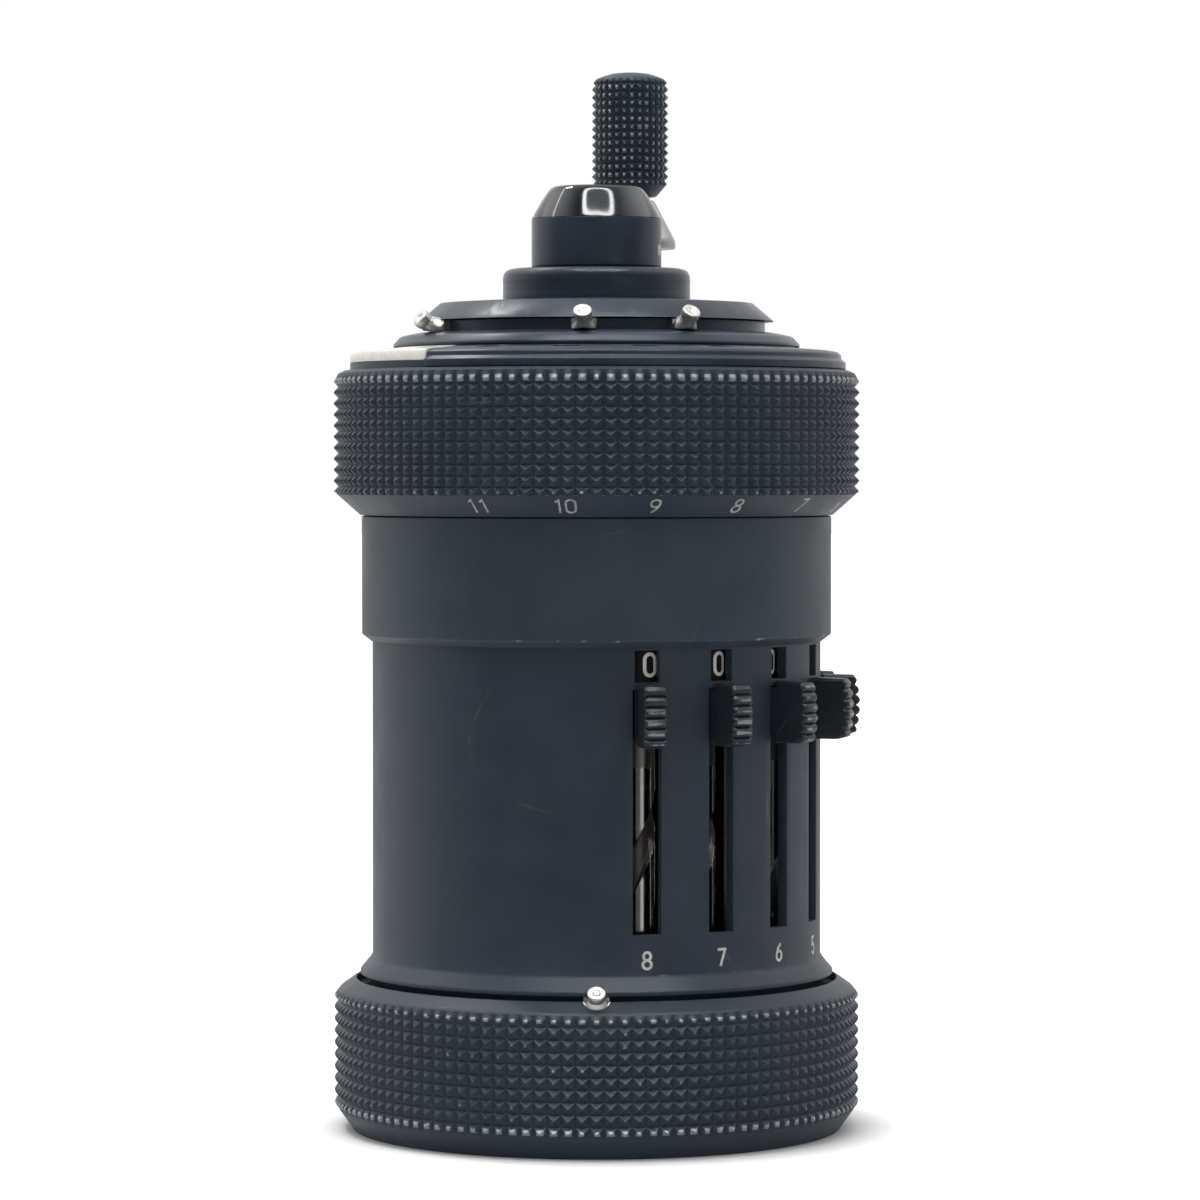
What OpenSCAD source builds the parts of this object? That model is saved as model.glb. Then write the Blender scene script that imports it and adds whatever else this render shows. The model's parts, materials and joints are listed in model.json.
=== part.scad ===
// Pocket mechanical calculator: an upright cylinder held in one hand. Eight sliders set a number,
// a crank on top turns a stepped drum, and a lifting, turning carriage carries the number dials.
// The front, between sliders 4 and 5, faces -Y. The main shaft is the Z axis, and z = 0 is the table.

/* [Grip rings] */
// Radius over the knurl of the base cup and of the carriage
grip_r = 26.5; // [26.3:0.05:28]
// Depth of the knurl
knurl_depth = 0.45; // [0.3:0.05:0.6]
// Number of knurl flutes round a grip ring
knurl_count = 120; // [90:2:140]

/* [Base cup] */
// Height of the base cup
base_h = 14.3; // [13.5:0.1:18]
// Thickness of the base cup's floor
base_floor = 1.6; // [1.5:0.1:2]
// Height of the chamfer under the base knurl
base_chamfer = 2.3; // [1.6:0.1:3]
// Wall of the base cup behind its knurl
base_wall = 1.85; // [1.2:0.05:2.2]
// Height of the lip that grips the housing sleeve
base_lip_h = 2; // [1.5:0.1:2.4]
// Height and width of the bevel at the base cup's upper edge
base_bevel = 0.5; // [0.2:0.05:0.8]
// Height of the open groove in which the lower decimal marker slides
base_groove_h = 1.3; // [1.2:0.05:2]

/* [Housing] */
// Outer radius of the slotted housing sleeve
body_r = 22.65; // [22.4:0.05:23]
// Wall of the housing sleeve
body_wall = 1.1; // [0.9:0.05:1.3]
// How far the sleeve's flared foot stands out
foot_w = 1.25; // [0.8:0.05:1.4]
// Height of the sleeve's flared foot
foot_h = 1.8; // [1:0.1:2.4]
// Height of the plain band that carries the place numbers
label_h = 4; // [3.4:0.1:6]
// Width of the setting slots
slot_w = 2.6; // [2.2:0.05:3]
// Length of the setting slots
slot_len = 23.8; // [22.5:0.1:26]
// Metal left between a slot and the window above it
window_bridge = 0.7; // [0.6:0.05:1.2]
// Height of the setting windows
window_h = 3.1; // [2.6:0.05:3.4]
// Wall of the upper collar
collar_wall = 1.03; // [0.8:0.01:1.2]
// Height of the upper collar, from the windows' upper edge
collar_h = 12.6; // [12:0.1:16]
// Thickness of the collar's inner lip and of the bevel at its foot
collar_lip = 0.8; // [0.6:0.05:1]
// Thickness of the top bearing plate
top_plate_h = 1.5; // [1.2:0.1:1.8]
// Thickness of the lower bearing plate
base_plate_h = 2.4; // [2:0.1:2.6]

/* [Main shaft and crank] */
// Radius of the main shaft
shaft_r = 2.5; // [2.2:0.05:2.6]
// Wall of the pocket round the carriage spring
pocket_wall = 1; // [0.8:0.05:1.3]
// Width of that pocket, from its wall to the centre tube that guides the carriage
pocket_w = 4.6; // [4.2:0.05:5]
// Clearance between the spring cap and its pocket
cap_clear = 0.15; // [0.1:0.01:0.3]
// Height of the spring cap
cap_h = 3.2; // [2.6:0.1:4]
// Radius of the rounded upper edge of the spring cap
cap_round = 1.5; // [0.5:0.1:2]
// Radius of the crank hub
hub_r = 6.55; // [6:0.05:7]
// Height of the straight part of the crank hub
hub_h = 4.85; // [4.6:0.05:6]
// Height of the crank hub's conical top
hub_cone_h = 3.35; // [2.8:0.05:4]
// Radius of the crank hub at the top of its cone
hub_top_r = 4.4; // [3.6:0.05:5]
// Distance from the main shaft to the knob's axis
crank_reach = 13; // [12.2:0.1:15]
// Width of the crank arm
arm_w = 4; // [3:0.1:4.6]
// Height of the crank arm
arm_h = 2.2; // [1.6:0.1:2.4]
// Radius of the steel foot under the knob
foot_r = 4.7; // [4.2:0.05:5]
// Height of the steel foot under the knob
knob_foot_h = 5.1; // [4.4:0.1:6]
// Radius of the knob over its knurl
knob_r = 3.88; // [3.4:0.02:4.4]
// Length of the knob
knob_h = 12.8; // [10:0.1:16]
// Radius of the steel pin on which the knob turns
knob_pin_r = 1.5; // [1.2:0.05:1.8]
// Number of flutes round the knob
knob_flutes = 30; // [16:2:32]
// Direction of the crank arm at rest, counted from the front
crank_angle = 82; // [60:1:120]
// Radius of the cross pin that locks the hub to the shaft
cross_pin_r = 0.7; // [0.5:0.05:0.8]

/* [Stepped drum] */
// Clearance between the drum's teeth and the pinions
drum_clear = 0.3; // [0.2:0.05:0.5]
// Height of the drum's teeth
drum_tooth_h = 1.2; // [0.8:0.05:1.6]
// Angle between two teeth of the drum
drum_tooth_angle = 13; // [11:0.5:14]
// Width of a drum tooth
drum_tooth_w = 1.3; // [0.8:0.05:1.6]
// Height of the tens-carry bell
bell_h = 4.6; // [3:0.1:5]
// Radius of the tens-carry bell
bell_r = 8.5; // [6:0.1:9.5]

/* [Sliders] */
// Height of a slider's neck, which rides in the slot
neck_h = 4.7; // [4.4:0.1:5.4]
// Clearance at each side and at each end of a slider's neck
neck_clear = 0.1; // [0.05:0.01:0.15]
// Width of a slider's finger piece
finger_w = 2.2; // [1.8:0.05:2.35]
// Height of a slider's finger piece
finger_h = 6.1; // [5.4:0.1:6.6]
// How far a slider's finger piece stands out of the housing
finger_out = 4.05; // [3:0.05:4.6]
// Number of ridges on a slider's finger piece
finger_ridges = 6; // [4:1:8]
// Depth of those ridges
finger_ridge_h = 0.4; // [0.2:0.05:0.6]
// How far the ridges' line is bowed outwards in its middle
finger_bow = 0.35; // [0:0.05:0.6]
// Height of the block that runs on the spindle
block_h = 4.2; // [3.6:0.1:4.4]
// Thickness of the fork that moves the pinion
fork_h = 0.9; // [0.6:0.05:1.2]

/* [Spindles and pinions] */
// Radius of a setting spindle
spindle_r = 1.7; // [1.5:0.05:1.8]
// Depth of a spindle's spiral groove
spiral_depth = 0.55; // [0.4:0.05:0.7]
// Radius of a number drum
dial_r = 2.9; // [2.6:0.05:2.95]
// Clearance between a number drum and the sleeve in front of it
dial_gap = 0.15; // [0.1:0.01:0.3]
// Distance from the spindles' circle to the pinion shafts' circle
shaft_step = 5.5; // [5.3:0.05:5.7]
// Tip radius of a pinion
pinion_r = 2.1; // [1.9:0.05:2.15]
// Height of a pinion
pinion_h = 1.2; // [0.9:0.05:1.5]
// Number of teeth of a pinion
pinion_teeth = 10; // [8:1:12]
// Radius of a pinion shaft's round journals
journal_r = 0.85; // [0.7:0.05:0.9]

/* [Carriage] */
// Open gap between the upper collar and the carriage
carriage_gap = 0.3; // [0.3:0.05:0.8]
// Height of the numbered bevel under the carriage's knurl
skirt_h = 1.9; // [1.4:0.05:2.4]
// Width of the numbered bevel
skirt_w = 2.2; // [1.6:0.05:3]
// Height of the carriage's knurled band
band_h = 11.9; // [11.4:0.1:14]
// Wall of the carriage ring behind its knurl
ring_wall = 2.05; // [1.8:0.05:2.3]
// Height of the bevel above the knurl
ring_bevel = 0.4; // [0.2:0.05:0.6]
// Height of the rim on which the two covers seat
rim_h = 0.8; // [0.6:0.05:1]
// Width of the rim on which the two covers seat
rim_w = 0.85; // [0.6:0.05:1]
// Thickness of the covers at their outer edge
cover_edge_h = 0.85; // [0.7:0.05:1.1]
// Thickness of the covers at their inner edge
cover_h = 1.5; // [1.2:0.05:1.6]
// Width of the windows over the number dials
dial_window_w = 2.6; // [2:0.05:2.8]
// Turn of the covers' dividing line from the middle between two dials
cover_shift = 4.5; // [0:0.5:5]
// Height of a number drum's band on the carriage dials
drum_band = 3.1; // [2.6:0.05:3.3]
// Height of the carriage dials' gears along their axles
dial_gear_w = 1.2; // [0.8:0.05:1.3]
// Tip radius of the carriage dials' gears
dial_gear_r = 2.2; // [2:0.02:2.24]
// Radius of the carriage dials' axles
axle_r = 0.8; // [0.6:0.05:0.9]

/* [Top plates] */
// Width of the covers, from the carriage ring's bore to the marker track
cover_w = 3.5; // [3.3:0.05:4]
// Thickness of the marker track at its rim
track_h = 0.9; // [0.85:0.05:1.1]
// Chamfer of the marker track's rim
track_chamfer = 0.7; // [0.2:0.05:0.8]
// Rise of the marker track's bevel
track_bevel = 0.5; // [0.3:0.05:0.8]
// Height of the groove in which the upper markers slide
track_groove_h = 1.1; // [1:0.05:1.5]
// Width of the marker track that shows outside the clearing plate
track_w = 2.6; // [2.4:0.05:2.9]
// Width of the clearing plate's bevel
plate_bevel_w = 2.1; // [1.5:0.05:2.6]
// Height of the clearing plate's bevel
plate_bevel_h = 1.8; // [1.4:0.05:2.2]
// Further rise of the clearing plate to its middle
plate_rise = 0.3; // [0.1:0.05:0.6]

/* [Clearing ring] */
// Distance from the clearing plate's edge to the clearing ring's rivet
rivet_inset = 3.7; // [3.4:0.1:4.2]
// Distance from the rivet to the middle of the finger loop
loop_reach = 17; // [16.6:0.1:19]
// Outer radius of the finger loop
loop_r = 9.8; // [8.5:0.1:10.2]
// Inner radius of the finger loop
loop_hole_r = 7.4; // [6.5:0.1:7.8]
// Thickness of the clearing ring
loop_h = 1; // [0.8:0.05:1.2]
// Width of the clearing ring's arm
loop_arm_w = 3.2; // [2.4:0.1:3.6]
// Largest fold of the clearing ring
fold_angle = 55; // [30:1:56]

/* [Decimal markers] */
// Radius of a marker's head
head_r = 0.93; // [0.8:0.01:1]
// Radius of a marker's foot
marker_foot_r = 1.25; // [1:0.05:1.3]
// Radius of a marker's neck
marker_neck_r = 0.78; // [0.6:0.02:0.85]
// Length of a marker's stud, from the foot to the middle of the head
stud_len = 2; // [1.8:0.05:2.3]

/* [Reversing lever] */
// Direction of the reversing lever, counted from the front
reverse_angle = 135; // [120:1:150]
// Length of the reversing lever's slot
reverse_slot = 8.6; // [8.2:0.1:10]
// Height of the reversing lever's neck
reverse_neck = 4.4; // [3.8:0.1:4.6]
// Width of the reversing lever's slot
reverse_w = 2.2; // [1.8:0.05:2.6]
// Height of the reversing lever's push piece
reverse_h = 5.6; // [5.2:0.1:6]
// How far the reversing lever's push piece stands out of the housing
reverse_out = 2.6; // [2:0.05:3.2]

/* [Clearances] */
// Radial clearance of a turning fit
run = 0.05; // [0.02:0.01:0.08]
// Radial clearance of a fixed seat
fit = 0.02; // [0.01:0.005:0.04]
// Distance between faces that pass each other
pass = 0.1; // [0.05:0.01:0.2]
// Distance between faces of neighbouring moving pieces
room = 0.3; // [0.2:0.05:0.4]

/* [Hidden] */
$fn = 64;
sliders = 8;
results = 11;
counters = 6;
carries = 3;

// Colours, as the enamel, steel, brass and white paint look
enamel = [0.17, 0.2, 0.23];
enamel_dark = [0.11, 0.13, 0.15];
steel = [0.72, 0.72, 0.7];
brass = [0.72, 0.6, 0.36];
white = [0.9, 0.9, 0.86];

// Places round the axis: eighteen equal steps, counted in degrees from the front towards +X
places = 18;
place = 360 / places;
carriage_shift = 1;
function slider_angle(k) = ((sliders + 1) / 2 - k) * place;
function result_angle(n) = slider_angle(1) + (carriage_shift - n + 1) * place;
function counter_angle(n) = result_angle(results) - n * place;
home_angle = counter_angle(counters) - place;
split_angle = result_angle(results) - place / 2 - cover_shift;
post_angles = [95, 180, 265];
shaft_angles = [for (k = [1:sliders + carries + 1]) slider_angle(k)];
top_marker_angles = [-144.5, -86.5, -54];
bottom_marker_angle = -82.5;

// Radii, from the outside inwards
knurl_root = grip_r - knurl_depth;
knurl_bed = knurl_root - 0.1;
body_in = body_r - body_wall;
cup_in = knurl_root - base_wall;
spindle_c = body_in - dial_gap - dial_r;
shaft_c = spindle_c - shaft_step;
drum_r = shaft_c - pinion_r - drum_clear;
post_r = 1.9;
post_c = shaft_c + pinion_r + post_r + room;
screw_r = 1.2;
ring_in = knurl_root - ring_wall;
rim_r = ring_in + rim_w;
track_r = ring_in - cover_w;
plate_r = track_r - track_w;
rivet_c = plate_r - rivet_inset;
cover_in = track_r - pass;
hub_out = shaft_c - pinion_r - drum_clear;
pocket_r = hub_out - pocket_wall;
tube_r = pocket_r - pocket_w;
cap_r = pocket_r - cap_clear;
track_in = plate_r - 0.9;
stud_lift = 0.15;

// Heights, from the table upwards
z_foot = base_h + base_groove_h;
z_slot = z_foot + foot_h + label_h;
z_slot_top = z_slot + slot_len;
z_window = z_slot_top + window_bridge;
z_window_top = z_window + window_h;
z_collar = z_window_top + 0.2;
z_collar_top = z_collar + collar_h;
z_top_plate = z_collar_top - collar_lip;
z_sleeve = base_h - base_lip_h + room;
z_base_plate = z_sleeve + base_plate_h;
z_carriage = z_collar_top + carriage_gap;
z_band = z_carriage + skirt_h;
z_band_top = z_band + band_h;
z_ring_top = z_band_top + ring_bevel;
z_rim = z_ring_top + rim_h;
z_cover = z_rim + run + cover_h;
z_track = z_cover + pass;
z_track_groove = z_track + track_h + track_bevel;
z_plate = z_track_groove + track_groove_h + pass;
z_plate_top = z_plate + plate_bevel_h + plate_rise;
z_cap_top = z_plate_top + cap_h;
z_hub = z_cap_top + 0.2;
z_hub_cone = z_hub + hub_h;
z_hub_top = z_hub_cone + hub_cone_h;
z_arm_top = z_hub_cone - 0.2;
z_arm = z_arm_top - arm_h;
z_knob_foot = z_arm - pass;
z_knob = z_knob_foot + knob_foot_h + room;
z_axle = z_rim - 0.3 - dial_r;
z_gear_top = z_axle - dial_gear_r - room;

// Slider travel: nine steps, and the spindle turns a tenth of a turn at each
slider_z = z_slot_top - neck_clear - neck_h / 2;
travel = slot_len - neck_h - 2 * neck_clear;
digit_step = travel / 9;
spiral_rate = 36 / digit_step;
follower_angle = 221;
block_z = slider_z - block_h / 2;
pinion_z = block_z + fork_h + run;
crank_lift = 1.5 * digit_step;

// A point on an arc of the given middle and radius
function arc(cx, cy, r, from, to, steps) =
    [for (i = [0:steps]) let (a = from + (to - from) * i / steps) [cx + r * cos(a), cy + r * sin(a)]];

// Outline of a small gear, four points to a tooth
function gear_points(teeth, tip, root) =
    [for (i = [0:teeth - 1]) for (p = [[0.3, root], [0.42, tip], [0.58, tip], [0.7, root]])
        let (a = (i + p[0] - 0.5) * 360 / teeth) [p[1] * sin(a), -p[1] * cos(a)]];

// Outline of a fluted band, one ridge to a flute
function flute_points(count, tip, root) =
    [for (i = [0:2 * count - 1]) let (a = i * 180 / count, r = i % 2 == 0 ? tip : root)
        [r * cos(a), r * sin(a)]];

module at_place(angle, radius) {
    rotate([0, 0, angle])
        translate([0, -radius, 0])
            children();
}

module rod(r, z0, z1) {
    translate([0, 0, z0])
        cylinder(r = r, h = z1 - z0);
}

module tube_ring(r_out, r_in, z0, z1) {
    rotate_extrude()
        translate([r_in, z0])
            square([r_out - r_in, z1 - z0]);
}

// A rod along the radius, between two distances from the main axis
module spoke(angle, z, r, from, to) {
    rotate([0, 0, angle])
        translate([0, -from, z])
            rotate([90, 0, 0])
                cylinder(r = r, h = to - from);
}

// A revolved profile that spans only part of a turn
module sector(from, to) {
    rotate([0, 0, from - 90])
        rotate_extrude(angle = to - from)
            children();
}

// A block centred across the radius, between two distances from the main axis
module radial_block(width, from, to, z0, z1) {
    translate([-width / 2, -to, z0])
        cube([width, to - from, z1 - z0]);
}

// The flutes of a grip ring, rooted in its core
module knurl_band(core, z0, z1) {
    translate([0, 0, z0])
        linear_extrude(height = z1 - z0)
            difference() {
                polygon(flute_points(knurl_count, grip_r, knurl_root));
                circle(r = core);
            }
}

// Base cup: knurled foot that closes the housing from below
screw_head_r = 2.2;
screw_head_h = 1;
screw_sink = 0.3;

module base_cup() {
    floor_r = grip_r - base_chamfer + knurl_depth;
    color(enamel)
        difference() {
            union() {
                rotate_extrude()
                    polygon([
                        [0, 0], [floor_r, 0], [knurl_bed, base_chamfer],
                        [knurl_bed, base_h - base_bevel], [knurl_root - base_bevel, base_h],
                        [body_r + fit, base_h], [body_r + fit, base_h - base_lip_h],
                        [cup_in, base_h - base_lip_h], [cup_in, base_floor], [0, base_floor]
                    ]);
                knurl_band(cup_in + 1, base_chamfer, base_h - base_bevel);
            }
            for (a = post_angles)
                at_place(a, post_c) {
                    rod(screw_head_r + run, -1, screw_sink + screw_head_h);
                    rod(screw_r + run, -1, base_floor + 1);
                }
        }
}

// Lower bearing plate: carries the foot of every shaft and guides the shift collar
guide_r = 0.8;
guide_c = 5;
bearing_depth = 1.2;

module base_plate() {
    color(brass)
        difference() {
            union() {
                rod(body_in - fit, z_sleeve, z_base_plate);
                at_place(0, guide_c)
                    rod(guide_r, base_floor + 1, z_sleeve + 1);
            }
            rod(shaft_r + run, z_sleeve - 1, z_base_plate + 1);
            for (a = post_angles)
                at_place(a, post_c)
                    rod(screw_r + run, z_sleeve - 1, z_base_plate + 1);
            for (k = [1:sliders])
                at_place(slider_angle(k), spindle_c)
                    rod(journal_r + run, z_base_plate - bearing_depth, z_base_plate + 1);
            for (a = shaft_angles)
                at_place(a, shaft_c)
                    rod(journal_r + run, z_base_plate - bearing_depth, z_base_plate + 1);
        }
}

// Housing sleeve: the slotted tube round the setting works
reverse_z0 = z_slot_top - reverse_slot;

module housing_sleeve() {
    color(enamel)
        difference() {
            rotate_extrude()
                polygon([
                    [body_in, z_sleeve], [body_r, z_sleeve], [body_r, z_foot],
                    [body_r + foot_w, z_foot], [body_r + foot_w, z_foot + 0.4],
                    [body_r, z_foot + foot_h], [body_r, z_top_plate - pass],
                    [body_in, z_top_plate - pass]
                ]);
            for (k = [1:sliders])
                rotate([0, 0, slider_angle(k)]) {
                    radial_block(slot_w, body_in - 1, body_r + 1, z_slot, z_slot_top);
                    radial_block(slot_w, body_in - 1, body_r + 1, z_window, z_window_top);
                }
            rotate([0, 0, reverse_angle])
                radial_block(reverse_w, body_in - 1, body_r + 1, reverse_z0, z_slot_top);
        }
}

// Upper collar: smooth band that hides the top bearing plate
module upper_collar() {
    r_in = body_r + fit;
    r_out = r_in + collar_wall;
    color(enamel)
        rotate_extrude()
            polygon([
                [r_in, z_collar], [r_out - collar_wall + 0.1, z_collar], [r_out, z_collar + 0.7],
                [r_out, z_collar_top - 0.3], [r_out - 0.3, z_collar_top],
                [body_in - 2, z_collar_top], [body_in - 2, z_top_plate], [r_in, z_top_plate]
            ]);
}

// Top bearing plate with the centre tube that guides the carriage
module top_bearing_plate() {
    z_under = z_top_plate - top_plate_h;
    color(brass)
        difference() {
            union() {
                rod(body_in - fit, z_under, z_top_plate);
                rod(tube_r, z_top_plate - 1, z_cap_top - 0.5);
            }
            rod(shaft_r + run, z_under - 1, z_cap_top);
            for (k = [1:sliders])
                at_place(slider_angle(k), spindle_c)
                    rod(journal_r + run, z_under - 1, z_under + bearing_depth);
            for (a = shaft_angles)
                at_place(a, shaft_c)
                    rod(journal_r + run, z_under - 1, z_top_plate + 1);
        }
}

// Spring cap: closes the pocket of the carriage spring on top of the tube
module spring_cap() {
    color(enamel_dark)
        rotate_extrude()
            polygon(concat(
                [[shaft_r + 0.5, z_cap_top], [shaft_r + 0.5, z_cap_top - 0.5 + fit]],
                [[tube_r + fit, z_cap_top - 0.5 + fit], [tube_r + fit, z_plate_top]],
                [[cap_r, z_plate_top]],
                arc(cap_r - cap_round, z_cap_top - cap_round, cap_round, 0, 90, 5)
            ));
}

// Frame posts and the screws that hold the base cup, three of each
module frame_posts() {
    color(steel)
        for (a = post_angles)
            at_place(a, post_c) {
                rod(post_r, z_base_plate, z_top_plate - top_plate_h);
                union() {
                    rod(screw_head_r, screw_sink, screw_sink + screw_head_h);
                    rod(screw_r, screw_sink + 0.5, z_base_plate - pass);
                }
            }
}

// Pinion shafts: square along the sliders' travel, with a carry wheel and a crown gear on top
square_w = 1.2;
z_square = z_base_plate + 1;
z_square_top = slider_z + 4;

module transmission_shafts() {
    color(steel)
        for (a = shaft_angles)
            at_place(a, shaft_c)
                union() {
                    rod(journal_r, z_base_plate - bearing_depth + pass, z_square + 0.5);
                    translate([-square_w / 2, -square_w / 2, z_square])
                        cube([square_w, square_w, z_square_top - z_square]);
                    rod(journal_r, z_square_top - 0.5, z_gear_top - 0.5);
                    translate([0, 0, z_top_plate + 3])
                        linear_extrude(height = pinion_h)
                            polygon(gear_points(pinion_teeth, pinion_r - 0.2, pinion_r - 0.8));
                    translate([0, 0, z_gear_top - pinion_h])
                        linear_extrude(height = pinion_h)
                            polygon(gear_points(pinion_teeth, pinion_r, pinion_r - 0.7));
                }
}

// Carriage spring: one coiled wire between the thrust ring and the cap
spring_turns = 5;
spring_rings = 14;
spring_sides = 6;
wire_r = 0.55;
spring_c = (tube_r + pocket_r) / 2;
z_thrust = z_gear_top - 1;
thrust_h = 1.2;
z_spring = z_thrust + thrust_h + wire_r + pass;
spring_rise = z_plate_top - wire_r - pass - z_spring;

module carriage_spring() {
    last = spring_turns * spring_rings;
    points = [for (i = [0:last]) for (j = [0:spring_sides - 1])
        let (
            turn = 360 * i / spring_rings,
            side = 360 * j / spring_sides,
            r = spring_c + wire_r * cos(side)
        ) [r * cos(turn), r * sin(turn), z_spring + spring_rise * i / last + wire_r * sin(side)]];
    walls = [for (i = [0:last - 1]) for (j = [0:spring_sides - 1])
        let (k = (j + 1) % spring_sides, a = i * spring_sides, b = a + spring_sides)
            for (f = [[a + j, b + j, b + k], [a + j, b + k, a + k]]) f];
    start = [for (j = [1:spring_sides - 2]) [0, j, j + 1]];
    finish = [for (j = [1:spring_sides - 2])
        [last * spring_sides, last * spring_sides + j + 1, last * spring_sides + j]];
    color(steel)
        polyhedron(points = points, faces = concat(walls, start, finish));
}

// Shift collar: rises with the crank and does not turn
collar_r = 6.5;
collar_z = base_floor + 3.3;
collar_t = 3.4;

module shift_collar() {
    color(brass)
        difference() {
            rod(collar_r, collar_z, collar_z + collar_t);
            rod(shaft_r + run, collar_z - 1, collar_z + collar_t + 1);
            at_place(0, guide_c)
                rod(guide_r + run, collar_z - 1, collar_z + collar_t + 1);
        }
}

// Main shaft with its two collars, and the cross pin that locks the crank hub to it
shaft_flange_r = guide_c - guide_r - room;
shaft_flange_h = 0.8;
z_shaft_top = z_hub_top - 1;
z_cross_pin = z_hub + 1.6;
cross_angle = crank_angle - 90;

module main_shaft() {
    color(steel) {
        difference() {
            union() {
                rod(shaft_r, collar_z - pass - shaft_flange_h, z_shaft_top);
                rod(shaft_flange_r, collar_z - pass - shaft_flange_h, collar_z - pass);
                rod(shaft_flange_r, collar_z + collar_t + pass,
                    collar_z + collar_t + pass + shaft_flange_h);
            }
            spoke(cross_angle, z_cross_pin, cross_pin_r + fit, -hub_r, hub_r);
        }
        spoke(cross_angle, z_cross_pin, cross_pin_r, -hub_r + 0.1, hub_r - 0.1);
    }
}

// Stepped drum, with nine teeth of rising length, and the tens-carry bell above it
z_drum = pinion_z - travel - 1.5;
z_drum_top = pinion_z + pinion_h + 1.5;
z_bell = z_top_plate - top_plate_h - crank_lift - bell_h - 1;

module stepped_drum() {
    core = drum_r - drum_tooth_h;
    color(brass) {
        difference() {
            union() {
                rod(core, z_drum - 0.3, z_drum_top);
                for (i = [1:9])
                    rotate([0, 0, (i - 5) * drum_tooth_angle + 180])
                        intersection() {
                            radial_block(drum_tooth_w, core - 0.5, drum_r + 1, z_drum,
                                pinion_z - i * digit_step + pinion_h + 0.4);
                            rod(drum_r, z_drum, z_drum_top);
                        }
            }
            rod(shaft_r + fit, z_drum - 1, z_drum_top + 1);
        }
        difference() {
            union() {
                rod(bell_r, z_bell, z_bell + bell_h);
                rotate([0, 0, 180])
                    radial_block(drum_tooth_w * 2, bell_r - 0.5, drum_r - 0.2, z_bell,
                        z_bell + bell_h / 2);
            }
            rod(shaft_r + fit, z_bell - 1, z_bell + bell_h + 1);
        }
    }
}

// Crank hub: black cap on the main shaft, cut for the arm and the cross pin
arm_in = shaft_r + 1;

module crank_hub() {
    color(enamel_dark)
        difference() {
            rotate_extrude()
                polygon([
                    [0, z_hub], [hub_r, z_hub], [hub_r, z_hub_cone],
                    [hub_top_r + 0.3, z_hub_top - 0.2], [hub_top_r, z_hub_top], [0, z_hub_top]
                ]);
            rod(shaft_r + fit, z_hub - 1, z_shaft_top + pass);
            spoke(cross_angle, z_cross_pin, cross_pin_r + fit, -hub_r - 1, hub_r + 1);
            rotate([0, 0, crank_angle])
                radial_block(arm_w + 2 * fit, arm_in - fit, hub_r + 1, z_arm - fit,
                    z_arm_top + fit);
        }
}

// Crank arm: steel bar with the conical foot and the pin of the knob
module crank_arm() {
    z_foot_top = z_knob_foot + knob_foot_h;
    color(steel)
        rotate([0, 0, crank_angle])
            union() {
                radial_block(arm_w, arm_in, crank_reach, z_arm, z_arm_top);
                translate([0, -crank_reach, 0])
                    rotate_extrude()
                        polygon([
                            [0, z_knob_foot], [foot_r, z_knob_foot], [foot_r, z_knob_foot + 0.8],
                            [knob_pin_r + 0.9, z_foot_top], [knob_pin_r, z_foot_top],
                            [knob_pin_r, z_knob + knob_h - 2.6], [0, z_knob + knob_h - 2.6]
                        ]);
            }
}

// Crank knob: fluted barrel that turns freely on the arm's pin
knob_chamfer = 1.4;
knob_dome = 0.9;

module crank_knob() {
    bore = knob_pin_r + run;
    color(enamel)
        at_place(crank_angle, crank_reach)
            intersection() {
                rotate_extrude()
                    polygon([
                        [bore, z_knob], [knob_r - knob_chamfer, z_knob],
                        [knob_r, z_knob + knob_chamfer], [knob_r, z_knob + knob_h - knob_dome],
                        [knob_r - 0.6, z_knob + knob_h - 0.35], [knob_r * 0.4, z_knob + knob_h],
                        [0, z_knob + knob_h], [0, z_knob + knob_h - 2.5],
                        [bore, z_knob + knob_h - 2.5]
                    ]);
                translate([0, 0, z_knob - 1])
                    linear_extrude(height = knob_h + 2)
                        polygon(flute_points(knob_flutes, knob_r + 0.1, knob_r - 0.35));
            }
}

// Slider: finger piece, neck through the slot, block on the spindle, fork and its pinion
block_r = spindle_r + 1.05;
follower_r = 0.3;
pinion_hub_r = 1.15;
finger_from = body_r + 0.2;
finger_to = body_r + finger_out;

function ridge_points() =
    let (low = finger_z + 0.5, pitch = (finger_h - 0.55) / finger_ridges)
        [for (i = [0:finger_ridges - 1]) for (p = [[0.1, 1], [0.5, 0], [0.9, 1]])
            let (t = 2 * (i + p[0]) / finger_ridges - 1)
                [-finger_to + p[1] * finger_ridge_h + finger_bow * t * t,
                    low + (i + p[0]) * pitch]];
finger_z = slider_z - finger_h / 2 - 0.1;

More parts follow.
